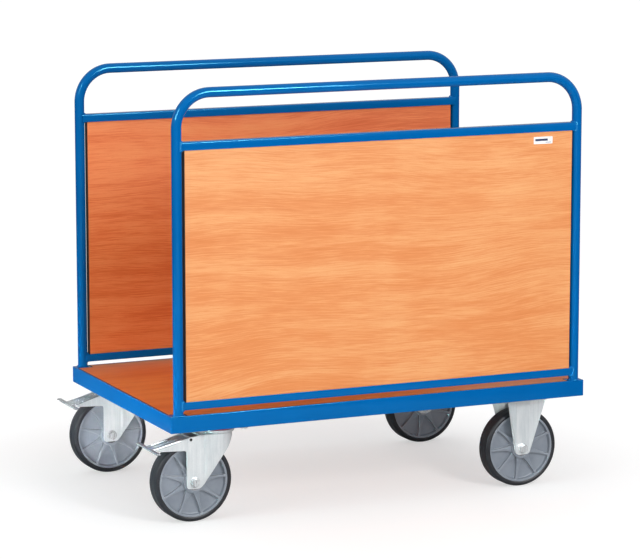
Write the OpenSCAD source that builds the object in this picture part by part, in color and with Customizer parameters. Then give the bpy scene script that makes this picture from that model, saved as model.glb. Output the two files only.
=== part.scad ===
// Industrial platform trolley with two boarded side walls.
// A welded blue steel frame carries a let-in deck board and two tube-framed walls.
// Two braked swivel casters are at the rear (-X) and two fixed casters at the front (+X).
// Origin: on the floor, under the middle of the trolley's outline. +X is the travel direction.

/* [Platform] */
// Length of the platform frame over its end rails
platform_l = 1124; // [1060:2:1300]
// Width of the platform frame over its side rails
platform_w = 702; // [690:2:780]
// Height of the deck surface above the floor
deck_z = 272; // [270:1:276]
// Height of the rolled rail profile
rail_h = 41; // [40:1:45]
// Wall thickness of the rails
rail_t = 4; // [3:0.5:5]
// Width of the inner ledge that carries the deck board
ledge_w = 34; // [28:1:40]
// Thickness of the deck board
board_t = 18; // [16:1:18]
// Gap between the deck board and the rails
board_gap = 1.5; // [1:0.5:3]
// Width and height of the hollow cross members
member_size = [40, 14]; // [10:1:50]
// Length and width of the plates that carry the posts
corner_plate = [38, 26]; // [26:1:50]

/* [Side walls] */
// Outer diameter of the bent tube
tube_d = 25; // [22:0.5:27]
// Wall thickness of the bent tube
tube_wall = 2; // [1.5:0.5:3]
// Centreline radius of the tube bends
bend_r = 84; // [60:1:110]
// Distance of the post centre from the end of the platform
post_inset = 24; // [20:1:30]
// Height of the top tube's centreline
tube_top_z = 1045; // [960:5:1200]
// Height of the underside of the middle bar
mid_bar_z = 910; // [700:5:915]
// Height of the underside of the low bar
low_bar_z = 285; // [282:1:300]
// Height of the bar channels
bar_h = 20; // [18:1:24]
// Depth of the bar channels across the wall
bar_d = 25; // [24:1:28]
// Wall thickness of the bar channels
bar_wall = 2; // [1.5:0.5:2.5]
// How far a bar's outer face lies outside the post centre
bar_out = 11; // [9:0.5:12]
// Thickness of the wall panels
panel_t = 18; // [15:1:19]
// Shadow gap between a panel and the posts
panel_gap = 4; // [2:0.5:8]
// Length, height and thickness of the blank label
label_size = [53, 18, 0.6]; // [0.4:0.1:60]

/* [Wheels] */
// Outer diameter of the tyres
wheel_d = 200; // [200:1:200]
// Width of the tyres
tyre_w = 46; // [40:1:48]
// Radius of the tyre's rounded shoulders
shoulder_r = 8; // [4:0.5:10]
// Radius of the seat between hub and tyre
seat_r = 88; // [84:1:90]
// Number of ribs on each side of a hub
rib_count = 9; // [5:1:12]
// Rest angle of the ribs on the rear and front wheels
rib_phase = [5, 22]; // [0:1:40]

/* [Casters] */
// Distance of the swivel axes from the rear end of the platform
swivel_inset = 143; // [120:1:160]
// Distance of the front axle from the front end of the platform
fixed_inset = 152; // [120:1:200]
// Distance between the two rear swivel axes
rear_track = 580; // [560:1:580]
// Distance between the two front wheels
front_track = 562; // [540:1:570]
// Distance of a wheel's axle behind its swivel axis
caster_trail = 70; // [65:1:75]
// Inner gap between the cheeks of a fork
fork_gap = 54; // [52:1:56]
// Sheet thickness of the forks
fork_t = 4; // [3:0.5:4]
// Length, width and thickness of the caster top plates
plate_size = [140, 110, 5]; // [4:1:140]
// Distances between the bolt holes of a top plate
hole_pitch = [110, 75]; // [70:1:110]
// Outer radius of the swivel head
head_r = 42; // [40:1:44]
// Travel from the axle to the rear edge of the pedal
pedal_reach = 114; // [110:1:120]
// Width of the pedal's cross bar
pedal_w = 144; // [120:1:150]

/* [Hidden] */
$fn = 64;
SIDES = ["l", "r"];
function side_sign(s) = s == "l" ? 1 : -1;

// Outline of the whole trolley, pedals included, centred on X = 0
rear_x = -platform_l / 2 + swivel_inset - caster_trail - pedal_reach;
shift_x = -(rear_x + platform_l / 2) / 2;
rear_end = shift_x - platform_l / 2;
front_end = shift_x + platform_l / 2;

// Platform levels
rail_z = deck_z - rail_h;
board_z = deck_z - board_t;
ledge_z = board_z - rail_t;
plate_z = rail_z;
member_z = ledge_z - member_size[1];
inner_half_w = platform_w / 2 - rail_t;

// Side walls
post_x = platform_l / 2 - post_inset;
post_y = platform_w / 2 - tube_d / 2;
bar_y = post_y + bar_out - bar_d;
panel_y = bar_y + bar_d - bar_wall - 0.5 - panel_t;
panel_half_l = post_x - tube_d / 2 - panel_gap;
panel_grip = bar_h - bar_wall - 1;
panel_z0 = low_bar_z + bar_h - panel_grip;
panel_z1 = mid_bar_z + panel_grip;
bar_half_l = post_x - 4;
bar_corner_r = 3;
label_from_post = 73;
label_below_bar = 12;

// Wheels and axles
wheel_r = wheel_d / 2;
axle_z = wheel_r;
fixed_x = front_end - fixed_inset;
swivel_x = rear_end + swivel_inset;
cheek_out = fork_gap / 2 + fork_t;
axle_r = 6;
sleeve_r = 10;
run_fit = 0.05;
bearing_r = 21;
bearing_w = 12;
barrel_r = 27;
barrel_half = fork_gap / 2 - 0.5;
rim_half = 21.5;
rim_in_r = seat_r - 5;
web_half = 11;
bolt_af = 19;
flange_r = 13;
flange_t = 2;

// Swivel head levels
crown_z = 212;
cup_z = crown_z + fork_t;
seal_z = 224;
king_r = 7;
ball_r = 4;
ball_ring_r = 34;
ball_count = 20;
cup_floor_z = cup_z + 2;
race_z = cup_floor_z + 2 * ball_r + 0.3;

// Pedal
pivot = [-10, 206];
pivot_r = 3.4;
pedal_t = 3;
pedal_half_w = 24;
tip_z = 191;
tip_len = 12;
pedal_slope = atan((pivot[1] + 2 - tip_z) / (pedal_reach - tip_len / 2 + pivot[0]));

caster_bolt_r = 5;
caster_bolt_af = 17;
caster_head_h = 6.4;

// ---------------------------------------------------------------- helpers

// A rectangle with round corners, its low corner at the origin
module rounded_rect(size, r) {
    translate([r, 0]) square([size[0] - 2 * r, size[1]]);
    translate([0, r]) square([size[0], size[1] - 2 * r]);
    for (x = [r, size[0] - r], y = [r, size[1] - r])
        translate([x, y]) circle(r = r);
}

// A cylinder along Y that starts at y
module rod_y(r, y, len, fn = 64) {
    translate([0, y, 0]) rotate([-90, 0, 0]) cylinder(r = r, h = len, $fn = fn);
}

// A solid of revolution about Y from an outline in (radius, y)
module turned_y() {
    rotate([-90, 0, 0]) rotate_extrude($fn = 128) children();
}

// An outline in X and Z, made len thick along Y from y
module plate_xz(y, len) {
    translate([0, y + len, 0]) rotate([90, 0, 0]) linear_extrude(len) children();
}

// The hexagon of a bolt head or nut by its width across flats
module hex(af, h) {
    cylinder(d = af / cos(30), h = h, $fn = 6);
}

// Points of an arc from angle a0 to a1 about a centre
function arc(c, r, a0, a1, steps = 6) =
    [for (i = [0 : steps]) c + r * [cos(a0 + (a1 - a0) * i / steps), sin(a0 + (a1 - a0) * i / steps)]];

module at_fixed(s) {
    translate([fixed_x, side_sign(s) * front_track / 2, 0]) children();
}

module at_swivel(s) {
    translate([swivel_x - caster_trail, side_sign(s) * rear_track / 2, 0]) children();
}

// ---------------------------------------------------------------- platform

// Rail section in (inwards, up): an upright web with a ledge for the deck board
module rail_section() {
    square([rail_t, rail_h]);
    translate([0, ledge_z - rail_z]) square([ledge_w, rail_t]);
}

// A rail of length len along X, its outer face at y = 0, mitred at both ends
module mitred_rail(len) {
    intersection() {
        translate([-len / 2, 0, rail_z])
            rotate([90, 0, 90]) linear_extrude(len) rail_section();
        translate([0, 0, rail_z - 1])
            linear_extrude(rail_h + 2)
                polygon([[-len / 2, 0], [len / 2, 0], [0, len / 2]]);
    }
}

module side_rail(s) {
    color("royalblue")
        translate([shift_x, side_sign(s) * platform_w / 2, 0])
            rotate([0, 0, s == "l" ? 180 : 0]) mitred_rail(platform_l);
}

module end_rail(sign) {
    color("royalblue")
        translate([shift_x + sign * platform_l / 2, 0, 0])
            rotate([0, 0, sign * 90]) mitred_rail(platform_w);
}

function member_places() = concat(
    [for (k = [-1, 1]) swivel_x + k * hole_pitch[0] / 2],
    [shift_x],
    [for (k = [-1, 1]) fixed_x + k * hole_pitch[0] / 2]);

module cross_members() {
    wall = 2;
    color("royalblue")
        difference() {
            for (x = member_places())
                translate([x - member_size[0] / 2, -inner_half_w, member_z])
                    difference() {
                        cube([member_size[0], 2 * inner_half_w, member_size[1]]);
                        translate([wall, -1, wall])
                            cube([member_size[0] - 2 * wall, 2 * inner_half_w + 2,
                                  member_size[1] - 2 * wall]);
                    }
            at_caster_bolts()
                translate([0, 0, member_z - 1]) cylinder(r = caster_bolt_r + 0.5, h = wall + 2);
        }
}

module corner_plates() {
    for (sx = [-1, 1], sy = [-1, 1])
        color("royalblue")
            translate([shift_x + sx * (platform_l / 2 - rail_t - corner_plate[0] / 2),
                       sy * (inner_half_w - corner_plate[1] / 2), deck_z - rail_t / 2])
                cube([corner_plate[0], corner_plate[1], rail_t], center = true);
}

function screw_places() = [
    for (sy = [-1, 1], k = [-2, -1, 1, 2])
        [shift_x + k * platform_l / 7, sy * (inner_half_w - ledge_w / 2)],
    for (sx = [-1, 1], k = [-1, 1])
        [shift_x + sx * (platform_l / 2 - rail_t - ledge_w / 2), k * platform_w / 5]
];

screw_r = 2.5;
screw_len = 16;

module deck_board() {
    half_l = platform_l / 2 - rail_t - board_gap;
    half_w = inner_half_w - board_gap;
    notch = corner_plate + [board_gap, board_gap] / 2;
    color("peru")
        difference() {
            translate([shift_x - half_l, -half_w, board_z])
                cube([2 * half_l, 2 * half_w, board_t]);
            for (sx = [-1, 1], sy = [-1, 1])
                translate([shift_x + sx * half_l, sy * half_w, board_z + board_t / 2])
                    cube([2 * notch[0], 2 * notch[1], board_t + 2], center = true);
            for (p = screw_places())
                translate([p[0], p[1], board_z - 1]) cylinder(r = screw_r, h = screw_len - rail_t + 1);
        }
}

module deck_screws() {
    head = [4.5, 2.5];
    color("silver")
        for (p = screw_places())
            translate([p[0], p[1], ledge_z]) {
                translate([0, 0, -head[1]]) cylinder(r = head[0], h = head[1]);
                cylinder(r = screw_r, h = screw_len);
            }
}

// The screws' holes in the rails
module rails_drilled() {
    difference() {
        children();
        for (p = screw_places())
            translate([p[0], p[1], ledge_z - 1]) cylinder(r = screw_r, h = rail_t + 2);
    }
}

// ---------------------------------------------------------------- side walls

// The bent tube's path as a solid of radius r
module tube_path(r) {
    straight = tube_top_z - bend_r - deck_z;
    for (sx = [-1, 1]) {
        translate([sx * post_x, 0, deck_z]) cylinder(r = r, h = straight);
        translate([sx * (post_x - bend_r), 0, tube_top_z - bend_r])
            rotate([90, 0, 0]) rotate([0, 0, sx > 0 ? 0 : 90])
                rotate_extrude(angle = 90, $fn = 96) translate([bend_r, 0]) circle(r = r, $fn = 64);
    }
    translate([-(post_x - bend_r), 0, tube_top_z])
        rotate([0, 90, 0]) cylinder(r = r, h = 2 * (post_x - bend_r));
}

module tube_frame(s) {
    color("royalblue")
        translate([shift_x, side_sign(s) * post_y, 0])
            difference() {
                tube_path(tube_d / 2);
                tube_path(tube_d / 2 - tube_wall);
            }
}

// Section of a bar channel whose mouth faces up, with round lower corners
module channel_section() {
    difference() {
        intersection() {
            square([bar_d, bar_h]);
            rounded_rect([bar_d, bar_h + bar_corner_r], bar_corner_r);
        }
        translate([bar_wall, bar_wall]) square([bar_d - 2 * bar_wall, bar_h]);
    }
}

// A bar channel between the posts, its mouth facing the panel
module bar_channel(s, z, mouth_up) {
    color("royalblue")
        difference() {
            translate([shift_x - bar_half_l, 0, z])
                rotate([90, 0, 90]) linear_extrude(2 * bar_half_l)
                    mirror([s == "l" ? 0 : 1, 0])
                        translate([bar_y, mouth_up ? 0 : bar_h])
                            mirror([0, mouth_up ? 0 : 1]) channel_section();
            for (sx = [-1, 1])
                translate([shift_x + sx * post_x, side_sign(s) * post_y, z - 1])
                    cylinder(r = tube_d / 2, h = bar_h + 2);
        }
}

module mid_bar(s) {
    bar_channel(s, mid_bar_z, false);
}

module low_bar(s) {
    bar_channel(s, low_bar_z, true);
}

module panel(s) {
    color("burlywood")
        translate([shift_x - panel_half_l, s == "l" ? panel_y : -panel_y - panel_t, panel_z0])
            cube([2 * panel_half_l, panel_t, panel_z1 - panel_z0]);
}

module label_plate() {
    color("white")
        translate([shift_x + post_x - label_from_post - label_size[0],
                   -panel_y - panel_t - label_size[2],
                   mid_bar_z - label_below_bar - label_size[1]])
            cube([label_size[0], label_size[2], label_size[1]]);
}

// ---------------------------------------------------------------- wheels

module tyre() {
    color("dimgray")
        turned_y()
            difference() {
                union() {
                    translate([seat_r, -tyre_w / 2 + 2]) square([6, tyre_w - 4]);
                    translate([wheel_r - shoulder_r - 2, -tyre_w / 2])
                        square([2, tyre_w]);
                    translate([wheel_r - 2 * shoulder_r, -tyre_w / 2 + shoulder_r])
                        square([2 * shoulder_r, tyre_w - 2 * shoulder_r]);
                    for (k = [-1, 1])
                        translate([wheel_r - shoulder_r, k * (tyre_w / 2 - shoulder_r)])
                            circle(r = shoulder_r);
                }
                translate([0, -tyre_w]) square([seat_r, 2 * tyre_w]);
            }
}

// One rib: broad at the barrel, slim at the rim
module rib() {
    polygon([[barrel_r - 2, -7], [barrel_r + 12, -3.4], [rim_in_r + 1, -2.2],
             [rim_in_r + 1, 2.2], [barrel_r + 12, 3.4], [barrel_r - 2, 7]]);
}

module hub(phase) {
    color("slategray")
        difference() {
            union() {
                turned_y() {
                    translate([bearing_r, -barrel_half])
                        square([barrel_r - bearing_r, 2 * barrel_half]);
                    translate([barrel_r - 1, -web_half]) square([rim_in_r - barrel_r + 2, 2 * web_half]);
                    translate([rim_in_r, -rim_half]) square([seat_r - rim_in_r, 2 * rim_half]);
                    translate([bearing_r - 3, -barrel_half + bearing_w])
                        square([4, 2 * (barrel_half - bearing_w)]);
                }
                plate_xz(-rim_half + 2, 2 * rim_half - 4)
                    for (i = [0 : rib_count - 1])
                        rotate(phase + i * 360 / rib_count) rib();
            }
            rod_y(bearing_r - 3, -barrel_half - 1, 2 * barrel_half + 2);
        }
}

module bearings() {
    color("silver")
        turned_y()
            for (k = [-1, 1])
                translate([0, k * (barrel_half - bearing_w / 2)])
                    difference() {
                        translate([sleeve_r + run_fit, -bearing_w / 2])
                            square([bearing_r - sleeve_r - run_fit, bearing_w]);
                        for (face = [-1, 1])
                            translate([sleeve_r + 3, face * bearing_w / 2 - 0.5])
                                square([5, 1]);
                    }
}

module sleeve() {
    color("gainsboro")
        turned_y() translate([axle_r, -fork_gap / 2]) square([sleeve_r - axle_r, fork_gap]);
}

module axle_bolt() {
    head_h = 7.5;
    tip = 14;
    color("gainsboro") {
        rod_y(axle_r, -cheek_out, 2 * cheek_out + tip);
        rod_y(flange_r, -cheek_out - flange_t, flange_t);
        translate([0, -cheek_out - flange_t, 0]) rotate([90, 0, 0]) hex(bolt_af, head_h);
    }
}

module axle_nut() {
    nut_h = 9;
    color("gainsboro")
        difference() {
            union() {
                rod_y(flange_r, cheek_out, flange_t);
                translate([0, cheek_out + flange_t, 0]) rotate([-90, 0, 0]) hex(bolt_af, nut_h);
            }
            rod_y(axle_r, cheek_out - 1, flange_t + nut_h + 2);
        }
}

// ---------------------------------------------------------------- fixed casters

module top_plate() {
    difference() {
        translate([-plate_size[0] / 2, -plate_size[1] / 2, plate_z]) cube(plate_size);
        for (x = [-1, 1], y = [-1, 1])
            translate([x * hole_pitch[0] / 2, y * hole_pitch[1] / 2, plate_z - 1])
                cylinder(r = caster_bolt_r + 0.5, h = plate_size[2] + 2);
    }
}

module at_caster_bolts() {
    for (s = SIDES, x = [-1, 1], y = [-1, 1]) {
        at_fixed(s)
            translate([x * hole_pitch[0] / 2, y * hole_pitch[1] / 2, 0]) children();
        at_swivel(s)
            translate([caster_trail + x * hole_pitch[0] / 2, y * hole_pitch[1] / 2, 0]) children();
    }
}

module fixed_fork(s) {
    half = 19;
    bottom = axle_z - 16;
    corner = 8;
    wing_angle = 34;
    wing_w = [5, 38];
    color("gainsboro")
        at_fixed(s) {
            difference() {
                union() {
                    for (k = [-1, 1]) {
                        plate_xz(k > 0 ? fork_gap / 2 : -cheek_out, fork_t)
                            polygon(concat(
                                [[-half, plate_z], [half, plate_z]],
                                arc([half - corner, bottom + corner], corner, 0, -90),
                                arc([-half + corner, bottom + corner], corner, -90, -180)));
                        for (sx = [-1, 1])
                            fork_wing(sx, k, half, wing_angle, wing_w, bottom + corner);
                    }
                }
                translate([0, 0, axle_z]) rod_y(axle_r, -cheek_out - 1, 2 * cheek_out + 2);
            }
            top_plate();
        }
}

// A flared edge that widens towards the top plate; k is the cheek's side, sx the edge
module fork_wing(sx, k, half, angle, w, z0) {
    translate([sx * half, k * cheek_out, 0])
        rotate([0, 0, sx * k * angle])
            plate_xz(k > 0 ? -fork_t : 0, fork_t)
                polygon([[-sx * 1, z0], [sx * w[0], z0 + 6], [sx * w[1], plate_z - 10],
                         [sx * w[1], plate_z], [-sx * 1, plate_z]]);
}

module fixed_sleeve(s) {
    at_fixed(s) translate([0, 0, axle_z]) sleeve();
}

module fixed_axle_bolts() {
    for (s = SIDES) at_fixed(s) translate([0, 0, axle_z]) axle_bolt();
}

module fixed_axle_nuts() {
    for (s = SIDES) at_fixed(s) translate([0, 0, axle_z]) axle_nut();
}

module caster_bolts() {
    color("silver")
        at_caster_bolts()
            translate([0, 0, plate_z]) {
                translate([0, 0, -caster_head_h]) hex(caster_bolt_af, caster_head_h);
                cylinder(r = caster_bolt_r, h = member_z + member_size[1] - 2.5 - plate_z);
            }
}

module caster_nuts() {
    nut_h = 7;
    color("silver")
        at_caster_bolts()
            translate([0, 0, member_z + 2])
                difference() {
                    hex(caster_bolt_af, nut_h);
                    translate([0, 0, -1]) cylinder(r = caster_bolt_r, h = nut_h + 2);
                }
}

// ---------------------------------------------------------------- swivel casters
// Each is drawn with its wheel axle on the Z axis and its swivel axis at x = caster_trail.

// Plan of the fork: two cheeks closed by a half round at the front
module fork_plan(half) {
    translate([caster_trail, 0]) circle(r = half);
    translate([-100, -half]) square([100 + caster_trail, 2 * half]);
}

// Side view of the fork: an arm to the rear, a leg to the axle and a raked front edge
module fork_side() {
    foot = axle_z - 16;
    polygon(concat(
        [[-92, 187], [-93, 183]],
        [[-50, 181]],
        arc([-28, 173], 7, 90, 0),
        arc([-13, foot + 8], 8, 180, 270),
        arc([11, foot + 12], 12, 270, 330),
        [[97, 206], [102, cup_z], [13, cup_z], [-20, 209]]));
}

module swivel_plate(s) {
    color("gainsboro")
        at_swivel(s)
            translate([caster_trail, 0, 0])
                difference() {
                    union() {
                        top_plate();
                        translate([0, 0, race_z])
                            cylinder(r = ball_ring_r + ball_r - 0.5, h = plate_z - race_z + 1);
                    }
                    translate([0, 0, race_z - 1])
                        cylinder(r = king_r, h = plate_z + plate_size[2] - race_z + 2);
                }
}

module kingpin(s) {
    head = [13, 4];
    color("silver")
        at_swivel(s)
            translate([caster_trail, 0, 0]) {
                translate([0, 0, crown_z - 0.3 - head[1]]) cylinder(r = head[0], h = head[1]);
                translate([0, 0, crown_z - 0.3])
                    cylinder(r = king_r, h = plate_z + plate_size[2] - crown_z + 0.3);
            }
}

module race_balls(s) {
    color("silver")
        at_swivel(s)
            translate([caster_trail, 0, cup_floor_z + ball_r])
                for (i = [0 : ball_count - 1])
                    rotate([0, 0, i * 360 / ball_count])
                        translate([ball_ring_r, 0, 0]) sphere(r = ball_r, $fn = 24);
}

module head_seal(s) {
    color("firebrick")
        at_swivel(s)
            translate([caster_trail, 0, 0])
                rotate_extrude()
                    translate([ball_ring_r + ball_r + 0.5, seal_z])
                        square([head_r - ball_ring_r - ball_r - 1, plate_z - seal_z - 0.5]);
}

module swivel_fork(s) {
    cup_wall = head_r - ball_ring_r - ball_r;
    color("gainsboro")
        at_swivel(s)
            difference() {
                union() {
                    intersection() {
                        translate([0, 0, 80])
                            linear_extrude(cup_z - 80)
                                difference() {
                                    fork_plan(cheek_out);
                                    fork_plan(fork_gap / 2);
                                    translate([-110, -fork_gap / 2]) square([40, fork_gap]);
                                }
                        plate_xz(-60, 120) fork_side();
                    }
                    intersection() {
                        translate([0, 0, crown_z]) linear_extrude(fork_t) fork_plan(cheek_out);
                        translate([12, -60, crown_z - 1]) cube([120, 120, fork_t + 2]);
                    }
                    translate([caster_trail, 0, 0])
                        rotate_extrude() {
                            translate([king_r + 6, cup_z])
                                square([head_r - king_r - 6, cup_floor_z - cup_z]);
                            translate([king_r + 6, cup_z]) square([4, 2 * ball_r]);
                            translate([head_r - cup_wall, cup_z]) square([cup_wall, seal_z - cup_z]);
                        }
                }
                translate([caster_trail, 0, crown_z - 1])
                    cylinder(r = king_r + run_fit, h = fork_t + 2);
                translate([0, 0, axle_z]) rod_y(axle_r, -cheek_out - 1, 2 * cheek_out + 2);
                translate([pivot[0], 0, pivot[1]]) rod_y(pivot_r, -cheek_out - 1, 2 * cheek_out + 2);
            }
}

module swivel_axle_bolt(s) {
    at_swivel(s) translate([0, 0, axle_z]) axle_bolt();
}

module swivel_axle_nut(s) {
    at_swivel(s) translate([0, 0, axle_z]) axle_nut();
}

module swivel_sleeve(s) {
    at_swivel(s) translate([0, 0, axle_z]) sleeve();
}

// A tube across the fork that the pedal turns on
module pedal_pin(s) {
    color("silver")
        at_swivel(s)
            translate([pivot[0], 0, pivot[1]])
                difference() {
                    rod_y(pivot_r, -cheek_out, 2 * cheek_out);
                    rod_y(pivot_r - 1.2, -cheek_out - 1, 2 * cheek_out + 2);
                }
}

// Pressed tongue with side flanges, a barrel on the pin and a cross bar to step on
module brake_pedal(s) {
    tongue_l = (pedal_reach + pivot[0]) / cos(pedal_slope) - tip_len / 2;
    flange_h = 6;
    slot = [44, 7];
    color("gainsboro")
        at_swivel(s)
            difference() {
                union() {
                    translate([pivot[0], 0, pivot[1]]) {
                        rod_y(pivot_r + 2.6, -pedal_half_w, 2 * pedal_half_w);
                        rotate([0, -pedal_slope, 0]) {
                            translate([-tongue_l, -pedal_half_w, 1])
                                cube([tongue_l, 2 * pedal_half_w, pedal_t]);
                            for (y = [-pedal_half_w, pedal_half_w - pedal_t])
                                translate([-tongue_l, y, 1 - flange_h])
                                    cube([tongue_l - 45, pedal_t, flange_h]);
                        }
                    }
                    translate([-pedal_reach, -pedal_w / 2, tip_z - 2])
                        cube([tip_len, pedal_w, 4]);
                }
                translate([pivot[0], 0, pivot[1]]) {
                    rod_y(pivot_r + run_fit, -pedal_half_w - 1, 2 * pedal_half_w + 2);
                    rotate([0, -pedal_slope, 0])
                        translate([-tongue_l + 12, 8, -10])
                            cube([slot[0], slot[1], 20]);
                }
            }
}

// Wedge under the tongue that presses on the tyre when the pedal is down
module brake_shoe(s) {
    under = 1;
    x0 = -33;
    x1 = -50;
    color("dimgray")
        at_swivel(s)
            translate([pivot[0], 0, pivot[1]])
                rotate([0, -pedal_slope, 0])
                    plate_xz(-18, 36)
                        polygon([[x0, under], [x1, under], [x1, -6.6], [x0, -3.6]]);
}

module rear_wheel(s) {
    at_swivel(s) translate([0, 0, axle_z]) children();
}

module front_wheel(s) {
    at_fixed(s) translate([0, 0, axle_z]) children();
}

// ---------------------------------------------------------------- nodes

rails_drilled() side_rail("l");  // side_rail_l
rails_drilled() side_rail("r");  // side_rail_r
rails_drilled() end_rail(1);  // end_rail_front
rails_drilled() end_rail(-1);  // end_rail_rear
cross_members();
corner_plates();
deck_board();
deck_screws();
label_plate();
caster_bolts();
caster_nuts();
fixed_axle_bolts();
fixed_axle_nuts();
for (s = SIDES) {
    tube_frame(s);
    mid_bar(s);
    low_bar(s);
    panel(s);
    fixed_fork(s);
    fixed_sleeve(s);
    front_wheel(s) hub(rib_phase[1]);
    front_wheel(s) tyre();
    front_wheel(s) bearings();
    swivel_plate(s);
    kingpin(s);
    race_balls(s);
    head_seal(s);
    swivel_fork(s);
    swivel_axle_bolt(s);
    swivel_axle_nut(s);
    swivel_sleeve(s);
    rear_wheel(s) hub(rib_phase[0]);
    rear_wheel(s) tyre();
    rear_wheel(s) bearings();
    brake_pedal(s);
    pedal_pin(s);
    brake_shoe(s);
}
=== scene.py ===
"""Looks of the platform trolley: painted frame, beech-decor boards, casters with brake pedals."""
from math import asin, atan2, cos, pi, radians, sin, sqrt, tan

import bmesh
import bpy
from mathutils import Matrix, Vector


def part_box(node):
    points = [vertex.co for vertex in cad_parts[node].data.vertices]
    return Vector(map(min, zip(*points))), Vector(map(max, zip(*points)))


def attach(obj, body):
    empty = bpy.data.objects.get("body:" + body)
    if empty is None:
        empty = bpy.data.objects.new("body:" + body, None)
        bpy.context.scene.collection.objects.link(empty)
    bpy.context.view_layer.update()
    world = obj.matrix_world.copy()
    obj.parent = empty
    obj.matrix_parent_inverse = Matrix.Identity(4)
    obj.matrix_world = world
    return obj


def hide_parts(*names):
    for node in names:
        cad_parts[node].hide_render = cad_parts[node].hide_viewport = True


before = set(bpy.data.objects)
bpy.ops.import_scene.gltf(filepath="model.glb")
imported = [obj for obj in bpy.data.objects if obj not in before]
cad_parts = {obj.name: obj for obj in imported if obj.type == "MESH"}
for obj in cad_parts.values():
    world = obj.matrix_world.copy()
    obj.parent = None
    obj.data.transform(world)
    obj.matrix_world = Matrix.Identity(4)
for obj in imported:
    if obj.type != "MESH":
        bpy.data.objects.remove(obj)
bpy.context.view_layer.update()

MM = 0.001
SIDES = {"l": 1, "r": -1}

# ---------------------------------------------------------------- sizes: the frame's, then each piece's

rail_low, rail_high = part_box("side_rail_r")
REAR_X, FRONT_X = rail_low.x, rail_high.x
MID_X = (REAR_X + FRONT_X) / 2
HALF_L = (FRONT_X - REAR_X) / 2
HALF_W = -rail_low.y
RAIL_Z0, DECK_Z = rail_low.z, rail_high.z
LEDGE_IN = rail_high.y - rail_low.y
LEDGE_Z1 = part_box("deck_board")[0].z
RAIL_T = 4 * MM

tube_low, tube_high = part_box("tube_frame_r")
TUBE_R = (tube_high.y - tube_low.y) / 2
POST_Y = -(tube_high.y + tube_low.y) / 2
POST_X = (tube_high.x - tube_low.x) / 2 - TUBE_R
TUBE_TOP = tube_high.z - TUBE_R
TUBE_BEND = 84 * MM
BAR_WALL = 2 * MM
MEMBER_W = 40 * MM
MEMBER_WALL = 2 * MM
CORNER_PLATE = (38 * MM, 26 * MM)

tyre_low, tyre_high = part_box("rear_tyre_r")
WHEEL_R = (tyre_high.z - tyre_low.z) / 2
TYRE_HALF = (tyre_high.y - tyre_low.y) / 2
SEAT_R = 88 * MM
RIM_IN_R = 83 * MM
RIM_HALF = 21.5 * MM
WEB_HALF = 11 * MM
BARREL_R = 27 * MM
BARREL_HALF = 26.5 * MM
BEARING_R = 21 * MM
BEARING_W = 12 * MM
RIBS = 9
RIB_PHASE = {"rear": 5, "front": 22}

PLATE_LENGTH = 140 * MM
PLATE_WIDTH = 110 * MM
PLATE_T = 5 * MM
HOLE_X = 110 * MM
HOLE_Y = 75 * MM

FORK_IN = 27 * MM
SHEET = 4 * MM
CUT_EDGE = 0.7 * MM
FORK_OUT = FORK_IN + SHEET
TRAIL = 70 * MM
ARM_REACH = 93 * MM
CROWN_Z = 212 * MM
CUP_Z = CROWN_Z + SHEET
HEAD_R = 42 * MM
KINGPIN_HOLE_R = 13 * MM
RACE_R = 37.5 * MM
BALLS = 20
FORK_FOOT = 16 * MM
AXLE_R = 6 * MM
BOLT_AF = 19 * MM
PIVOT = Vector((-10 * MM, 0, 206 * MM))
PIN_R = 3.4 * MM
EYE_R = 6 * MM

FIXED_FLAT = 19 * MM
FIXED_WING = 38 * MM
FIXED_FOOT_WING = 6 * MM
FIXED_LEAN = radians(34)
FIXED_BEND = 5 * MM


def wheel_centre(end, side):
    low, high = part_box(f"{end}_tyre_{side}")
    return (low + high) / 2


# ---------------------------------------------------------------- node helpers


def add(tree, kind, inputs=None, **settings):
    """A node of that kind; inputs are values or sockets to link."""
    made = tree.nodes.new(kind)
    for key, value in settings.items():
        setattr(made, key, value)
    for key, value in (inputs or {}).items():
        if isinstance(value, bpy.types.NodeSocket):
            tree.links.new(value, made.inputs[key])
        else:
            made.inputs[key].default_value = value
    return made


def calc(tree, operation, a, b=0.0, c=0.0, clamp=False):
    inputs = {0: a, 1: b}
    if operation in ("MULTIPLY_ADD", "COMPARE", "SMOOTH_MIN"):
        inputs[2] = c
    return add(tree, "ShaderNodeMath", inputs, operation=operation, use_clamp=clamp).outputs[0]


def blend_colours(tree, factor, a, b):
    return add(tree, "ShaderNodeMix", {0: factor, 6: a, 7: b}, data_type="RGBA").outputs[2]


def spread(tree, value, low, high, to_low=0.0, to_high=1.0):
    """Maps low..high to to_low..to_high, held at the ends."""
    inputs = {0: value, 1: low, 2: high, 3: to_low, 4: to_high}
    return add(tree, "ShaderNodeMapRange", inputs, clamp=True).outputs[0]


def noise(tree, vector, scale, detail=2.0, rough=0.5):
    inputs = {"Vector": vector, "Scale": scale, "Detail": detail, "Roughness": rough}
    return add(tree, "ShaderNodeTexNoise", inputs).outputs["Fac"]


def stretched(tree, vector, factors, shift=(0, 0, 0)):
    inputs = {"Vector": vector, "Scale": factors, "Location": shift}
    return add(tree, "ShaderNodeMapping", inputs).outputs[0]


def node_group(kind, name, inputs, outputs):
    """A node tree with named sockets, and its input and output nodes."""
    tree = bpy.data.node_groups.new(name, kind)
    for label, socket, default in inputs:
        made = tree.interface.new_socket(label, in_out="INPUT", socket_type="NodeSocket" + socket)
        if default is not None:
            made.default_value = default
    for label, socket in outputs:
        tree.interface.new_socket(label, in_out="OUTPUT", socket_type="NodeSocket" + socket)
    return tree, tree.nodes.new("NodeGroupInput").outputs, tree.nodes.new("NodeGroupOutput").inputs


def shader_group(name, inputs, outputs):
    return node_group("ShaderNodeTree", name, inputs, outputs)


def use_group(tree, group, inputs):
    """Places a shader group in a tree and gives its outputs."""
    return add(tree, "ShaderNodeGroup", inputs, node_tree=group).outputs


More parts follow.
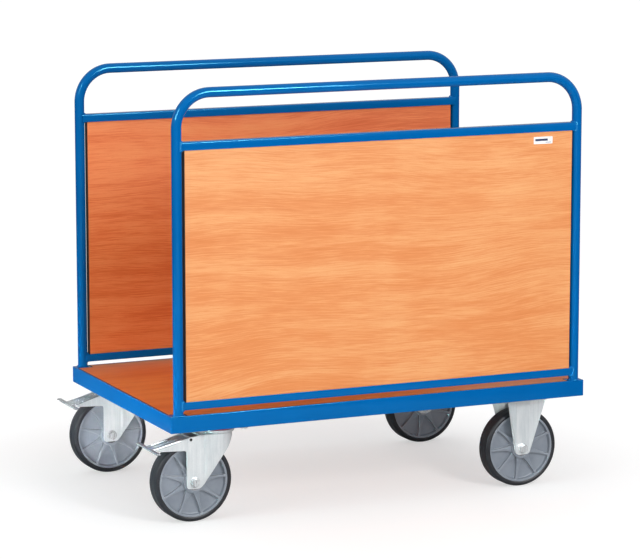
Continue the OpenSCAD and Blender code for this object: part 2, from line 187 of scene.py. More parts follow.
# ---------------------------------------------------------------- shared surface effects


def make_edge_wear():
    """Where paint or plating is rubbed thin along edges: 0 on flat faces, up to 1 at an edge."""
    tree, ins, outs = shader_group(
        "edge_wear",
        [("Vector", "Vector", None), ("Radius", "Float", 1.5 * MM), ("Break Up", "Float", 60.0)],
        [("Mask", "Float")])
    rounded_normal = add(tree, "ShaderNodeBevel", {"Radius": ins["Radius"]}, samples=4).outputs[0]
    flat_normal = add(tree, "ShaderNodeNewGeometry").outputs["Normal"]
    facing = add(tree, "ShaderNodeVectorMath", {0: rounded_normal, 1: flat_normal},
                 operation="DOT_PRODUCT").outputs["Value"]
    edge = spread(tree, facing, 0.995, 0.86)
    patches = spread(tree, noise(tree, ins["Vector"], ins["Break Up"], 4.0, 0.65), 0.38, 0.62)
    tree.links.new(calc(tree, "MULTIPLY", edge, patches), outs["Mask"])
    return tree


def make_fine_grain():
    """Small bumps of a moulded or powder-coated skin, with soft patches of tone."""
    tree, ins, outs = shader_group(
        "fine_grain",
        [("Vector", "Vector", None), ("Grain", "Float", 900.0), ("Patches", "Float", 9.0)],
        [("Height", "Float"), ("Tone", "Float")])
    fine = noise(tree, ins["Vector"], ins["Grain"], 3.0, 0.6)
    broad = noise(tree, ins["Vector"], ins["Patches"], 4.0, 0.55)
    tree.links.new(fine, outs["Height"])
    tree.links.new(spread(tree, broad, 0.3, 0.7), outs["Tone"])
    return tree


def make_zinc_sheen():
    """Bright zinc plating: cloudy tone, drawing lines down the sheet and tiny pits."""
    tree, ins, outs = shader_group(
        "zinc_sheen",
        [("Vector", "Vector", None), ("Lines", "Float", 260.0), ("Pits", "Float", 500.0)],
        [("Tone", "Float"), ("Height", "Float")])
    clouds = noise(tree, stretched(tree, ins["Vector"], (1.0, 1.0, 0.35)), 26.0, 4.0, 0.6)
    lines = noise(tree, stretched(tree, ins["Vector"], (1.0, 1.0, 0.04)), ins["Lines"], 3.0, 0.6)
    pits = noise(tree, ins["Vector"], ins["Pits"], 2.0, 0.5)
    tone = calc(tree, "MULTIPLY_ADD", lines, 0.35, calc(tree, "MULTIPLY", clouds, 0.5))
    tree.links.new(calc(tree, "MULTIPLY_ADD", pits, 0.15, tone), outs["Tone"])
    height = calc(tree, "MULTIPLY_ADD", lines, 0.6, calc(tree, "MULTIPLY", pits, 0.4))
    tree.links.new(height, outs["Height"])
    return tree


def make_dust():
    """Thin dust that settles on upward faces and low down."""
    tree, ins, outs = shader_group(
        "dust",
        [("Vector", "Vector", None), ("Amount", "Float", 0.3), ("Fade Height", "Float", 0.2)],
        [("Mask", "Float")])
    parts = add(tree, "ShaderNodeSeparateXYZ", {0: ins["Vector"]}).outputs
    low_down = calc(tree, "SUBTRACT", 1.0, calc(tree, "DIVIDE", parts["Z"], ins["Fade Height"]), clamp=True)
    normal = add(tree, "ShaderNodeNewGeometry").outputs["Normal"]
    up = add(tree, "ShaderNodeSeparateXYZ", {0: normal}).outputs["Z"]
    settled = calc(tree, "MAXIMUM", calc(tree, "MULTIPLY", low_down, 0.6), spread(tree, up, 0.2, 0.9))
    speckle = spread(tree, noise(tree, ins["Vector"], 55.0, 5.0, 0.7), 0.35, 0.75)
    patchy = calc(tree, "MULTIPLY", settled, speckle)
    tree.links.new(calc(tree, "MULTIPLY", patchy, ins["Amount"]), outs["Mask"])
    return tree


def make_beech_decor():
    """Printed beech: broad tonal bands, lines that bow round soft ovals, short dark flecks.
    The vector's X runs along the grain, its Y across it."""
    tree, ins, outs = shader_group(
        "beech_decor",
        [("Vector", "Vector", None), ("Light", "Color", (0.9, 0.5, 0.25, 1)),
         ("Middle", "Color", (0.8, 0.36, 0.14, 1)), ("Dark", "Color", (0.6, 0.22, 0.08, 1)),
         ("Contrast", "Float", 1.0)],
        [("Color", "Color"), ("Line", "Float"), ("Height", "Float")])
    vector = ins["Vector"]
    slow_bow = noise(tree, stretched(tree, vector, (1.5, 3.6, 1.0), (3.1, 0.4, 0)), 1.0, 1.0, 0.4)
    small_bow = noise(tree, stretched(tree, vector, (5.0, 11.0, 1.0), (7.7, 2.2, 0)), 1.0, 1.0, 0.4)
    bow = calc(tree, "MULTIPLY_ADD", slow_bow, 0.10, calc(tree, "MULTIPLY", small_bow, 0.006))
    parts = add(tree, "ShaderNodeSeparateXYZ", {0: vector}).outputs
    across = calc(tree, "ADD", parts["Y"], bow)
    grain = add(tree, "ShaderNodeCombineXYZ", {0: parts["X"], 1: across, 2: 0.0}).outputs[0]
    bands = noise(tree, stretched(tree, grain, (1.6, 24.0, 1.0)), 1.0, 3.0, 0.6)
    lines = noise(tree, stretched(tree, grain, (10.0, 330.0, 1.0)), 1.0, 5.0, 0.72)
    threads = noise(tree, stretched(tree, grain, (16.0, 640.0, 1.0)), 1.0, 2.0, 0.6)
    dashes = noise(tree, stretched(tree, grain, (95.0, 1000.0, 1.0)), 1.0, 1.0, 0.5)
    clouds = noise(tree, vector, 3.2, 3.0, 0.55)
    tone = calc(tree, "MULTIPLY_ADD", bands, 0.26, calc(tree, "MULTIPLY", lines, 0.34))
    tone = calc(tree, "MULTIPLY_ADD", threads, 0.20, tone)
    tone = calc(tree, "MULTIPLY_ADD", clouds, 0.20, tone)
    centred = calc(tree, "MULTIPLY", calc(tree, "SUBTRACT", tone, 0.5), ins["Contrast"])
    tone = calc(tree, "ADD", centred, 0.5)
    body = blend_colours(tree, spread(tree, tone, 0.38, 0.53), ins["Dark"], ins["Middle"])
    body = blend_colours(tree, spread(tree, tone, 0.47, 0.62), body, ins["Light"])
    fleck = calc(tree, "MULTIPLY", spread(tree, dashes, 0.64, 0.76), 0.5)
    tree.links.new(blend_colours(tree, fleck, body, ins["Dark"]), outs["Color"])
    tree.links.new(spread(tree, lines, 0.35, 0.6), outs["Line"])
    height = calc(tree, "MULTIPLY_ADD", threads, 0.5, calc(tree, "MULTIPLY", fleck, -0.8))
    tree.links.new(height, outs["Height"])
    return tree


EDGE_WEAR = make_edge_wear()
FINE_GRAIN = make_fine_grain()
ZINC_SHEEN = make_zinc_sheen()
DUST = make_dust()
BEECH_DECOR = make_beech_decor()

# ---------------------------------------------------------------- materials


def srgb(red, green, blue):
    """A colour given as 0-255 screen values, in the linear values that a shader takes."""
    def linear(value):
        value /= 255
        return value / 12.92 if value <= 0.04045 else ((value + 0.055) / 1.055) ** 2.4
    return linear(red), linear(green), linear(blue), 1.0


def start_material(name, **shader):
    """A Principled material: its tree, its shader's inputs and its object coordinates."""
    made = bpy.data.materials.new(name)
    made.use_nodes = True
    tree = made.node_tree
    inputs = tree.nodes["Principled BSDF"].inputs
    for key, value in shader.items():
        inputs[key.replace("_", " ")].default_value = value
    coords = tree.nodes.new("ShaderNodeTexCoord").outputs["Object"]
    return made, tree, inputs, coords


def set_bump(tree, inputs, height, distance, strength=1.0):
    bump = add(tree, "ShaderNodeBump", {"Height": height, "Distance": distance, "Strength": strength})
    tree.links.new(bump.outputs[0], inputs["Normal"])


def make_paint(name, colour, worn):
    """Glossy powder coat with a light orange peel, thinner and paler along the edges."""
    made, tree, inputs, coords = start_material(
        name, Specular_IOR_Level=0.42, Specular_Tint=(0.2, 0.86, 1.0, 1.0))
    skin = use_group(tree, FINE_GRAIN, {"Vector": coords, "Grain": 420.0, "Patches": 6.0})
    wear = use_group(tree, EDGE_WEAR, {"Vector": coords, "Radius": 1.2 * MM, "Break Up": 45.0})
    deep = tuple(0.9 * c for c in colour[:3]) + (1.0,)
    body = blend_colours(tree, skin["Tone"], deep, colour)
    amount = calc(tree, "MULTIPLY", wear["Mask"], 0.45)
    tree.links.new(blend_colours(tree, amount, body, worn), inputs["Base Color"])
    rough = calc(tree, "MULTIPLY_ADD", skin["Tone"], 0.04, 0.10)
    tree.links.new(calc(tree, "MULTIPLY_ADD", wear["Mask"], 0.15, rough), inputs["Roughness"])
    set_bump(tree, inputs, skin["Height"], 0.02 * MM, 0.15)
    return made


def make_zinc(name, low, high, rough, lines=260.0, metallic=0.5):
    """Bright zinc plate; low and high are its darkest and lightest tone."""
    made, tree, inputs, coords = start_material(name, Metallic=metallic)
    sheen = use_group(tree, ZINC_SHEEN, {"Vector": coords, "Lines": lines, "Pits": 500.0})
    wear = use_group(tree, EDGE_WEAR, {"Vector": coords, "Radius": 0.9 * MM, "Break Up": 90.0})
    body = blend_colours(tree, spread(tree, sheen["Tone"], 0.35, 0.65), low, high)
    bright = calc(tree, "MULTIPLY", wear["Mask"], 0.6)
    tree.links.new(blend_colours(tree, bright, body, srgb(246, 248, 248)), inputs["Base Color"])
    tree.links.new(calc(tree, "MULTIPLY_ADD", sheen["Tone"], 0.16, rough - 0.08), inputs["Roughness"])
    set_bump(tree, inputs, sheen["Height"], 0.04 * MM, 0.5)
    return made


def make_beech(name, tones, across, shift=(0, 0, 0)):
    """Beech decor whose grain runs along X; across is the axis over the grain."""
    made, tree, inputs, coords = start_material(name, Specular_IOR_Level=0.35)
    parts = add(tree, "ShaderNodeSeparateXYZ", {0: coords}).outputs
    plane = add(tree, "ShaderNodeCombineXYZ", {0: parts["X"], 1: parts[across], 2: 0.0}).outputs[0]
    shifted = add(tree, "ShaderNodeVectorMath", {0: plane, 1: shift}, operation="ADD").outputs[0]
    light, middle, dark = tones
    decor = use_group(tree, BEECH_DECOR, {
        "Vector": shifted, "Light": light, "Middle": middle, "Dark": dark, "Contrast": 1.0})
    tree.links.new(decor["Color"], inputs["Base Color"])
    tree.links.new(calc(tree, "MULTIPLY_ADD", decor["Line"], 0.08, 0.40), inputs["Roughness"])
    set_bump(tree, inputs, decor["Height"], 0.06 * MM, 0.5)
    return made


def make_moulded(name, low, high, rough, grain=900.0, bump=0.06, dust=0.0, wear=0.0, **shader):
    """Moulded rubber or plastic: fine grain, cloudy tone, some dust and rubbed edges."""
    made, tree, inputs, coords = start_material(name, **shader)
    skin = use_group(tree, FINE_GRAIN, {"Vector": coords, "Grain": grain, "Patches": 24.0})
    body = blend_colours(tree, skin["Tone"], low, high)
    if dust:
        settled = use_group(tree, DUST, {"Vector": coords, "Amount": dust, "Fade Height": 0.12})
        body = blend_colours(tree, settled["Mask"], body, srgb(150, 146, 140))
    if wear:
        rubbed = use_group(tree, EDGE_WEAR, {"Vector": coords, "Radius": 2.2 * MM, "Break Up": 30.0})
        body = blend_colours(tree, calc(tree, "MULTIPLY", rubbed["Mask"], wear), body, srgb(190, 194, 200))
    tree.links.new(body, inputs["Base Color"])
    tree.links.new(calc(tree, "MULTIPLY_ADD", skin["Tone"], 0.10, rough - 0.05), inputs["Roughness"])
    set_bump(tree, inputs, skin["Height"], bump * MM, 0.6)
    return made


def make_label():
    """White film with two plain bars, one broad and one thin."""
    made, tree, inputs, coords = start_material("label_film", Roughness=0.35)
    low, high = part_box("label_plate")
    parts = add(tree, "ShaderNodeSeparateXYZ", {0: coords}).outputs

    def bar(x0, x1, z0, z1):
        """1 inside the given shares of the label's length and height."""
        size = high - low
        edges = [("X", "GREATER_THAN", low.x + x0 * size.x), ("X", "LESS_THAN", low.x + x1 * size.x),
                 ("Z", "GREATER_THAN", low.z + z0 * size.z), ("Z", "LESS_THAN", low.z + z1 * size.z)]
        mask = 1.0
        for axis, operation, edge in edges:
            mask = calc(tree, "MULTIPLY", calc(tree, operation, parts[axis], edge), mask)
        return mask

    skin = use_group(tree, FINE_GRAIN, {"Vector": coords, "Grain": 1500.0, "Patches": 30.0})
    film = blend_colours(tree, skin["Tone"], srgb(238, 240, 240), srgb(250, 251, 251))
    film = blend_colours(tree, bar(0.08, 0.74, 0.42, 0.72), film, srgb(38, 52, 92))
    film = blend_colours(tree, bar(0.62, 0.92, 0.17, 0.25), film, srgb(90, 100, 140))
    tree.links.new(film, inputs["Base Color"])
    set_bump(tree, inputs, skin["Height"], 0.02 * MM, 0.4)
    return made


PAINT = make_paint("blue_powder_coat", srgb(0, 99, 173), srgb(40, 140, 205))
# Paler blue on the bar welds: painted highlight of the beads catching the light.
WELD_PAINT_PAINTED_HIGHLIGHT = make_paint("blue_powder_coat_weld_painted_highlight", srgb(18, 116, 188), srgb(130, 190, 230))
ZINC = make_zinc("bright_zinc_sheet", srgb(208, 216, 220), srgb(238, 243, 245), 0.34)
# The pedal's zinc is a darker copy of the fork plating: painted shade in the streaks of its pressed tongue.
PEDAL_ZINC_PAINTED_SHADE = make_zinc("bright_zinc_pedal_painted_shade", srgb(150, 156, 160), srgb(238, 242, 244), 0.26, metallic=0.6)
BOLT_ZINC = make_zinc("zinc_fastener", srgb(186, 192, 196), srgb(230, 234, 236), 0.28, 600.0, 0.55)
STEEL = make_zinc("bearing_steel", srgb(140, 144, 150), srgb(190, 194, 200), 0.22, 700.0, 0.95)
# The far board (side l) and the deck take darker, redder copies of the near board's beech decor: painted
# shade of the space between the walls.
BOARD_TONES_WITH_PAINTED_SHADE = {
    "l": (srgb(241, 151, 90), srgb(234, 127, 70), srgb(212, 100, 48)),
    "r": (srgb(238, 174, 116), srgb(231, 150, 90), srgb(219, 130, 68)),
    "deck": (srgb(253, 152, 80), srgb(248, 134, 62), srgb(230, 108, 44)),
}
BOARD = {
    "l": make_beech("beech_decor_left_painted_shade", BOARD_TONES_WITH_PAINTED_SHADE["l"], "Z", (1.7, 0.9, 0)),
    "r": make_beech("beech_decor_right", BOARD_TONES_WITH_PAINTED_SHADE["r"], "Z"),
}
DECK_DECOR_PAINTED_SHADE = make_beech("beech_decor_deck_painted_shade", BOARD_TONES_WITH_PAINTED_SHADE["deck"], "Y", (4.3, 2.6, 0))
# Dark brown board edges: painted shade of the narrow gaps between the boards and the frame.
BOARD_EDGE_PAINTED_SHADE = make_moulded("board_edge_painted_shade", srgb(58, 40, 32), srgb(84, 60, 48), 0.5, 500.0)
RUBBER = make_moulded("tyre_rubber", srgb(28, 30, 35), srgb(40, 42, 48), 0.46, 1400.0, 0.08, dust=0.06,
                      Specular_IOR_Level=0.36)
NYLON = make_moulded("hub_nylon", srgb(124, 132, 143), srgb(140, 148, 158), 0.36, 1100.0, 0.05, wear=0.9)
SEAL = make_moulded("seal_red", srgb(128, 12, 40), srgb(156, 24, 56), 0.4, 900.0)
# Near-black pin: painted shade of the hole it sits in.
PIN_PAINTED_SHADE = make_moulded("pin_painted_shade", srgb(16, 17, 20), srgb(30, 32, 36), 0.5, 900.0)
BRAKE_PAD = make_moulded("brake_pad", srgb(38, 38, 40), srgb(54, 54, 56), 0.7, 700.0, 0.12)
LABEL = make_label()

# ---------------------------------------------------------------- mesh helpers


STRAIGHT = radians(89)
MERGE = 0.01 * MM


def rounded(corners, steps=4):
    """An outline from corners given as (x, y, radius), with round stretches where radius is set."""
    points = []
    for i, (x, y, radius) in enumerate(corners):
        corner = Vector((x, y))
        if radius <= 0:
            points.append(corner)
            continue
        back = (Vector(corners[i - 1][:2]) - corner).normalized()
        ahead = (Vector(corners[(i + 1) % len(corners)][:2]) - corner).normalized()
        half = back.angle(ahead) / 2
        if half > STRAIGHT:
            points.append(corner)
            continue
        centre = corner + (back + ahead).normalized() * (radius / sin(half))
        start = corner + back * (radius / tan(half)) - centre
        end = corner + ahead * (radius / tan(half)) - centre
        turn = start.angle(end)
        for k in range(steps + 1):
            t = k / steps
            points.append(centre + (start * sin((1 - t) * turn) + end * sin(t * turn)) / sin(turn))
    return points


def box_outline(x0, x1, y0, y1, radius=0.0, steps=4):
    return rounded([(x0, y0, radius), (x1, y0, radius), (x1, y1, radius), (x0, y1, radius)], steps)


def to_space(axes, u, v, w):
    """A point from outline values u, v on two named axes and w on the third."""
    third = ({0, 1, 2} - {"xyz".index(a) for a in axes}).pop()
    point = Vector((0, 0, 0))
    point["xyz".index(axes[0])] = u
    point["xyz".index(axes[1])] = v
    point[third] = w
    return point


def add_loops(bm, loops, close_round=False):
    """Joins rings of equal length with quads, and caps the first and last or joins them too."""
    rings = [[bm.verts.new(p) for p in loop] for loop in loops]
    pairs = list(zip(rings, rings[1:]))
    if close_round:
        pairs.append((rings[-1], rings[0]))
    for a, b in pairs:
        for i in range(len(a)):
            j = (i + 1) % len(a)
            bm.faces.new((a[i], a[j], b[j], b[i]))
    if not close_round:
        bm.faces.new(rings[0])
        bm.faces.new(rings[-1])


def add_prism(bm, outline, low, high, axes):
    """An outline on two axes, drawn out along the third."""
    add_loops(bm, [[to_space(axes, p[0], p[1], w) for p in outline] for w in (low, high)])


def add_turned(bm, outline, centre, axis="y", steps=96):
    """A closed outline of (radius, along), turned about an axis through centre."""
    centre = Vector(centre)
    loops = []
    for k in range(steps):
        angle = 2 * pi * k / steps
        around = (cos(angle), sin(angle))
        if axis == "y":
            loop = [centre + Vector((r * around[0], along, r * around[1])) for r, along in outline]
        else:
            loop = [centre + Vector((r * around[0], r * around[1], along)) for r, along in outline]
        loops.append(loop)
    add_loops(bm, loops, close_round=True)


def add_hex(bm, centre, axis, across_flats, height, bore=0.0, sign=1):
    """A hexagon head or nut with chamfered corners, standing on centre along sign times the axis."""
    centre = Vector(centre)
    steps = 36
    inner = across_flats / 2 * 0.95

    def ring(radius_of, height_of):
        loop = []
        for k in range(steps):
            angle = 2 * pi * k / steps
            off_flat = (angle + pi / 6) % (pi / 3) - pi / 6
            corner = across_flats / 2 / cos(off_flat)
            radius = radius_of(corner)
            along = sign * height_of(corner)
            u, v = radius * cos(angle), radius * sin(angle)
            point = Vector((u, along, v)) if axis == "y" else Vector((u, v, along))
            loop.append(centre + point)
        return loop

    def round_ring(radius, along):
        return ring(lambda corner: radius, lambda corner: along)

    loops = [ring(lambda corner: corner, lambda corner: 0.0),
             ring(lambda corner: corner, lambda corner: height - (corner - inner) * tan(radians(30))),
             round_ring(inner, height)]
    if bore:
        countersink = 0.8 * MM
        loops += [round_ring(bore + countersink, height), round_ring(bore, height - countersink),
                  round_ring(bore, 0.0)]
        add_loops(bm, loops, close_round=True)
    else:
        dish = 0.3 * MM
        loops.append(round_ring(inner * 0.72, height - dish))
        add_loops(bm, loops)


def make_object(name, mesh):
    made = bpy.data.objects.new(name, mesh)
    bpy.context.scene.collection.objects.link(made)
    return made


def settle(made):
    """Turns an object's modifiers into plain mesh."""
    graph = bpy.context.evaluated_depsgraph_get()
    graph.update()
    mesh = bpy.data.meshes.new_from_object(made.evaluated_get(graph), depsgraph=graph)
    mesh.name = made.name
    made.modifiers.clear()
    made.data = mesh
    return made


def plain_mesh(name, bm):
    """Plain mesh of a bmesh, which is used up."""
    mesh = bpy.data.meshes.new(name)
    bm.to_mesh(mesh)
    bm.free()
    return mesh


def clean(mesh):
    bm = bmesh.new()
    bm.from_mesh(mesh)
    bmesh.ops.remove_doubles(bm, verts=bm.verts, dist=MERGE)
    bmesh.ops.dissolve_degenerate(bm, edges=bm.edges, dist=MERGE)
    bmesh.ops.recalc_face_normals(bm, faces=bm.faces)
    bm.to_mesh(mesh)
    bm.free()


def finish_mesh(name, bm, materials, thick=0.0, bevel=0.0, bevel_angle=40, steps=2, smooth_angle=38,
                edge_slot=-1):
    """Makes a settled object from a bmesh: cleaned, thickened, its edges eased, shaded smooth.
    The eased edges take the material in edge_slot, or their neighbours' when it is -1."""
    mesh = plain_mesh(name, bm)
    clean(mesh)
    for item in materials if isinstance(materials, (list, tuple)) else [materials]:
        mesh.materials.append(item)
    made = make_object(name, mesh)
    if thick:
        solid = made.modifiers.new("thickness", "SOLIDIFY")
        solid.thickness = abs(thick)
        solid.offset = -1 if thick > 0 else 1
        solid.use_even_offset = True
    if bevel:
        eased = made.modifiers.new("eased_edges", "BEVEL")
        eased.width = bevel
        eased.segments = steps
        eased.limit_method = "ANGLE"
        eased.angle_limit = radians(bevel_angle)
        eased.use_clamp_overlap = True
        eased.harden_normals = False
        eased.material = edge_slot
    settle(made)
    made.data.shade_smooth()
    made.data.set_sharp_from_angle(angle=radians(smooth_angle))
    if bevel:
        even = made.modifiers.new("even_shading", "WEIGHTED_NORMAL")
        even.keep_sharp = True
        even.weight = 60
        settle(made)
    return made


def hand_over(made, body, slot, *nodes):
    """Gives a finished piece its body and hides the CAD nodes it stands for; slot is not used."""
    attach(made, body)
    if nodes:
        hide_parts(*nodes)
    return made


def join(name, objects):
    """One object from several that share their materials."""
    bm = bmesh.new()
    slots = []
    for item in objects:
        mesh = item.data
        for material in mesh.materials:
            if material not in slots:
                slots.append(material)
        index = [slots.index(material) for material in mesh.materials]
        start = len(bm.faces)
        bm.from_mesh(mesh)
        bm.faces.ensure_lookup_table()
        for face in bm.faces[start:]:
            face.material_index = index[face.material_index]
    mesh = plain_mesh(name, bm)
    for material in slots:
        mesh.materials.append(material)
    for item in objects:
        bpy.data.objects.remove(item)
    return make_object(name, mesh)


# ---------------------------------------------------------------- geometry node trees


def geometry_tree(name, sizes):
    inputs = [("Geometry", "Geometry", None)] + sizes + [("Material", "Material", None)]
    return node_group("GeometryNodeTree", name, inputs, [("Geometry", "Geometry")])


def end_tree(tree, ins, outs, geometry):
    """Every tree ends with real mesh and its material."""
    real = add(tree, "GeometryNodeRealizeInstances", {0: geometry}).outputs[0]
    shaded = add(tree, "GeometryNodeSetShadeSmooth", {"Geometry": real, "Shade Smooth": True}).outputs[0]
    done = add(tree, "GeometryNodeSetMaterial", {"Geometry": shaded, "Material": ins["Material"]})
    tree.links.new(done.outputs[0], outs["Geometry"])
    return tree


def make_bent_tube():
    """Rounds the corners of a path and draws a closed tube along it."""
    tree, ins, outs = geometry_tree("bent_tube", [
        ("Bend Radius", "Float", 0.1), ("Bend Steps", "Int", 16),
        ("Tube Radius", "Float", 0.01), ("Tube Sides", "Int", 32)])
    path = add(tree, "GeometryNodeMeshToCurve", {0: ins["Geometry"]}).outputs[0]
    bent = add(tree, "GeometryNodeFilletCurve", {"Curve": path, "Radius": ins["Bend Radius"],
                                                "Count": ins["Bend Steps"]}, mode="POLY").outputs[0]
    section = add(tree, "GeometryNodeCurvePrimitiveCircle",
                  {"Resolution": ins["Tube Sides"], "Radius": ins["Tube Radius"]}).outputs[0]
    tube = add(tree, "GeometryNodeCurveToMesh",
               {"Curve": bent, "Profile Curve": section, "Fill Caps": True}).outputs[0]
    return end_tree(tree, ins, outs, tube)


def make_weld_bead():
    """Lays a rippled bead of weld along each path: rings that swell and shrink in turn."""
    tree, ins, outs = geometry_tree("weld_bead", [
        ("Bead Radius", "Float", 0.002), ("Ripple", "Float", 0.0009), ("Swell", "Float", 0.16),
        ("Wander", "Float", 0.0003), ("Sides", "Int", 8), ("Seed", "Int", 1)])
    path = add(tree, "GeometryNodeMeshToCurve", {0: ins["Geometry"]}).outputs[0]
    rings = add(tree, "GeometryNodeResampleCurve", {"Curve": path, "Length": ins["Ripple"]},
                mode="LENGTH").outputs[0]
    index = add(tree, "GeometryNodeInputIndex").outputs[0]
    wave = calc(tree, "SINE", calc(tree, "MULTIPLY", index, pi * 2 / 3))
    uneven = add(tree, "FunctionNodeRandomValue", {2: -1.0, 3: 1.0, "Seed": ins["Seed"]}, data_type="FLOAT")
    swell = calc(tree, "MULTIPLY_ADD", uneven.outputs[1], 0.5, wave)
    factor = calc(tree, "MULTIPLY_ADD", swell, ins["Swell"], 1.0)
    sized = add(tree, "GeometryNodeSetCurveRadius", {"Curve": rings, "Radius": factor}).outputs[0]
    shift = add(tree, "FunctionNodeRandomValue", {0: (-1, -1, -1), 1: (1, 1, 1), "Seed": ins["Seed"]},
                data_type="FLOAT_VECTOR").outputs[0]
    offset = add(tree, "ShaderNodeVectorMath", {0: shift, "Scale": ins["Wander"]},
                 operation="SCALE").outputs[0]
    moved = add(tree, "GeometryNodeSetPosition", {"Geometry": sized, "Offset": offset}).outputs[0]
    section = add(tree, "GeometryNodeCurvePrimitiveCircle",
                  {"Resolution": ins["Sides"], "Radius": ins["Bead Radius"]}).outputs[0]
    bead = add(tree, "GeometryNodeCurveToMesh",
               {"Curve": moved, "Profile Curve": section, "Fill Caps": True})
    if "Scale" in bead.inputs:
        tree.links.new(factor, bead.inputs["Scale"])
    return end_tree(tree, ins, outs, bead.outputs[0])


def make_ring_of_copies():
    """Sets copies of the incoming mesh in a ring about the Y or Z axis, each turned to its place."""
    tree, ins, outs = geometry_tree("ring_of_copies", [
        ("Count", "Int", 9), ("Phase", "Float", 0.0), ("About Z", "Bool", False)])
    points = add(tree, "GeometryNodeMeshLine", {"Count": ins["Count"], "Offset": (0, 0, 0)}, mode="OFFSET",
                 count_mode="TOTAL").outputs[0]
    index = add(tree, "GeometryNodeInputIndex").outputs[0]
    step = calc(tree, "DIVIDE", 2 * pi, ins["Count"])
    angle = calc(tree, "MULTIPLY_ADD", index, step, ins["Phase"])
    about_y = add(tree, "ShaderNodeCombineXYZ", {1: calc(tree, "MULTIPLY", angle, -1.0)}).outputs[0]
    about_z = add(tree, "ShaderNodeCombineXYZ", {2: angle}).outputs[0]
    turn = add(tree, "GeometryNodeSwitch", {"Switch": ins["About Z"], "False": about_y, "True": about_z},
               input_type="VECTOR").outputs[0]
    copies = add(tree, "GeometryNodeInstanceOnPoints",
                 {"Points": points, "Instance": ins["Geometry"], "Rotation": turn}).outputs[0]
    return end_tree(tree, ins, outs, copies)


def make_grid_of_copies():
    """Sets copies of the incoming mesh on a grid of holes round the origin."""
    tree, ins, outs = geometry_tree("grid_of_copies", [
        ("Pitch X", "Float", 0.1), ("Pitch Y", "Float", 0.1), ("Count X", "Int", 2), ("Count Y", "Int", 2)])
    steps_x = calc(tree, "SUBTRACT", ins["Count X"], 1.0)
    steps_y = calc(tree, "SUBTRACT", ins["Count Y"], 1.0)
    size_x = calc(tree, "MULTIPLY", ins["Pitch X"], steps_x)
    size_y = calc(tree, "MULTIPLY", ins["Pitch Y"], steps_y)
    grid = add(tree, "GeometryNodeMeshGrid", {"Size X": size_x, "Size Y": size_y,
               "Vertices X": ins["Count X"], "Vertices Y": ins["Count Y"]}).outputs[0]
    copies = add(tree, "GeometryNodeInstanceOnPoints",
                 {"Points": grid, "Instance": ins["Geometry"]}).outputs[0]
    return end_tree(tree, ins, outs, copies)


BENT_TUBE = make_bent_tube()
WELD_BEAD = make_weld_bead()
RING_OF_COPIES = make_ring_of_copies()
GRID_OF_COPIES = make_grid_of_copies()


def grow(name, mesh, tree, values, material, smooth_angle=None):
    """Runs a geometry tree on a mesh and keeps the result as plain mesh."""
    made = make_object(name, mesh)
    nodes = made.modifiers.new("shape", "NODES")
    nodes.node_group = tree
    for socket in tree.interface.items_tree:
        if socket.item_type != "SOCKET" or socket.in_out != "INPUT":
            continue
        if socket.name in values:
            nodes[socket.identifier] = values[socket.name]
        elif socket.name == "Material":
            nodes[socket.identifier] = material
    settle(made)
    clean(made.data)
    if smooth_angle:
        made.data.shade_smooth()
        made.data.set_sharp_from_angle(angle=radians(smooth_angle))
    return made


def path_mesh(name, paths):
    """Paths as loose edges; a path is a list of points and may be closed with its first point."""
    bm = bmesh.new()
    for path in paths:
        closed = (path[0] - path[-1]).length < MERGE
        verts = [bm.verts.new(p) for p in (path[:-1] if closed else path)]
        for a, b in zip(verts, verts[1:]):
            bm.edges.new((a, b))
        if closed:
            bm.edges.new((verts[-1], verts[0]))
    return plain_mesh(name, bm)


# ---------------------------------------------------------------- platform


def rail_section():
    """Rolled rail in (inwards, up): an upright web with round edges and a ledge for the deck."""
    under_ledge = LEDGE_Z1 - RAIL_T
    outer, inner, root = 1.8 * MM, 1.2 * MM, 2.5 * MM
    return rounded([
        (0, RAIL_Z0, outer), (RAIL_T, RAIL_Z0, inner), (RAIL_T, under_ledge, root),
        (LEDGE_IN, under_ledge, inner), (LEDGE_IN, LEDGE_Z1, inner), (RAIL_T, LEDGE_Z1, root),
        (RAIL_T, DECK_Z, inner), (0, DECK_Z, outer)])


def make_rail(node, half, centre, turn):
    """A rail with mitred ends and round outer corners; turn faces its web outwards."""
    corner = 2.5 * MM
    section = rail_section()
    bm = bmesh.new()

    def loop(sign, angle):
        points = []
        for inward, z in section:
            if inward < corner:
                reach = corner - inward
                x = half - corner + reach * cos(radians(angle))
                y = corner - reach * sin(radians(angle))
            else:
                x, y = half - inward, inward
            points.append(Vector((sign * x, y, z)))
        return points

    angles = (45, 60, 75, 90)
    loops = [loop(-1, a) for a in angles] + [loop(1, a) for a in reversed(angles)]
    add_loops(bm, loops)
    spin = Matrix.Translation(centre) @ Matrix.Rotation(radians(turn), 4, "Z")
    bmesh.ops.transform(bm, matrix=spin, verts=bm.verts)
    made = finish_mesh("painted_" + node, bm, PAINT, smooth_angle=50)
    return hand_over(made, "chassis", "blue_powder_coat", node)


def make_platform():
    make_rail("side_rail_r", HALF_L, (MID_X, -HALF_W, 0), 0)
    make_rail("side_rail_l", HALF_L, (MID_X, HALF_W, 0), 180)
    make_rail("end_rail_front", HALF_W, (FRONT_X, 0, 0), 90)
    make_rail("end_rail_rear", HALF_W, (REAR_X, 0, 0), -90)
    make_cross_members()
    make_corner_plates()
    make_deck()


def member_places():
    """Middles of the cross members along X, read from where their fasteners pass."""
    plates = [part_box("swivel_plate_r"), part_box("fixed_fork_r")]
    edge = (PLATE_LENGTH - HOLE_X) / 2
    places = [MID_X]
    for low, high in plates:
        middle = (low.x + high.x) / 2
        half = PLATE_LENGTH / 2 - edge
        places += [middle - half, middle + half]
    return places


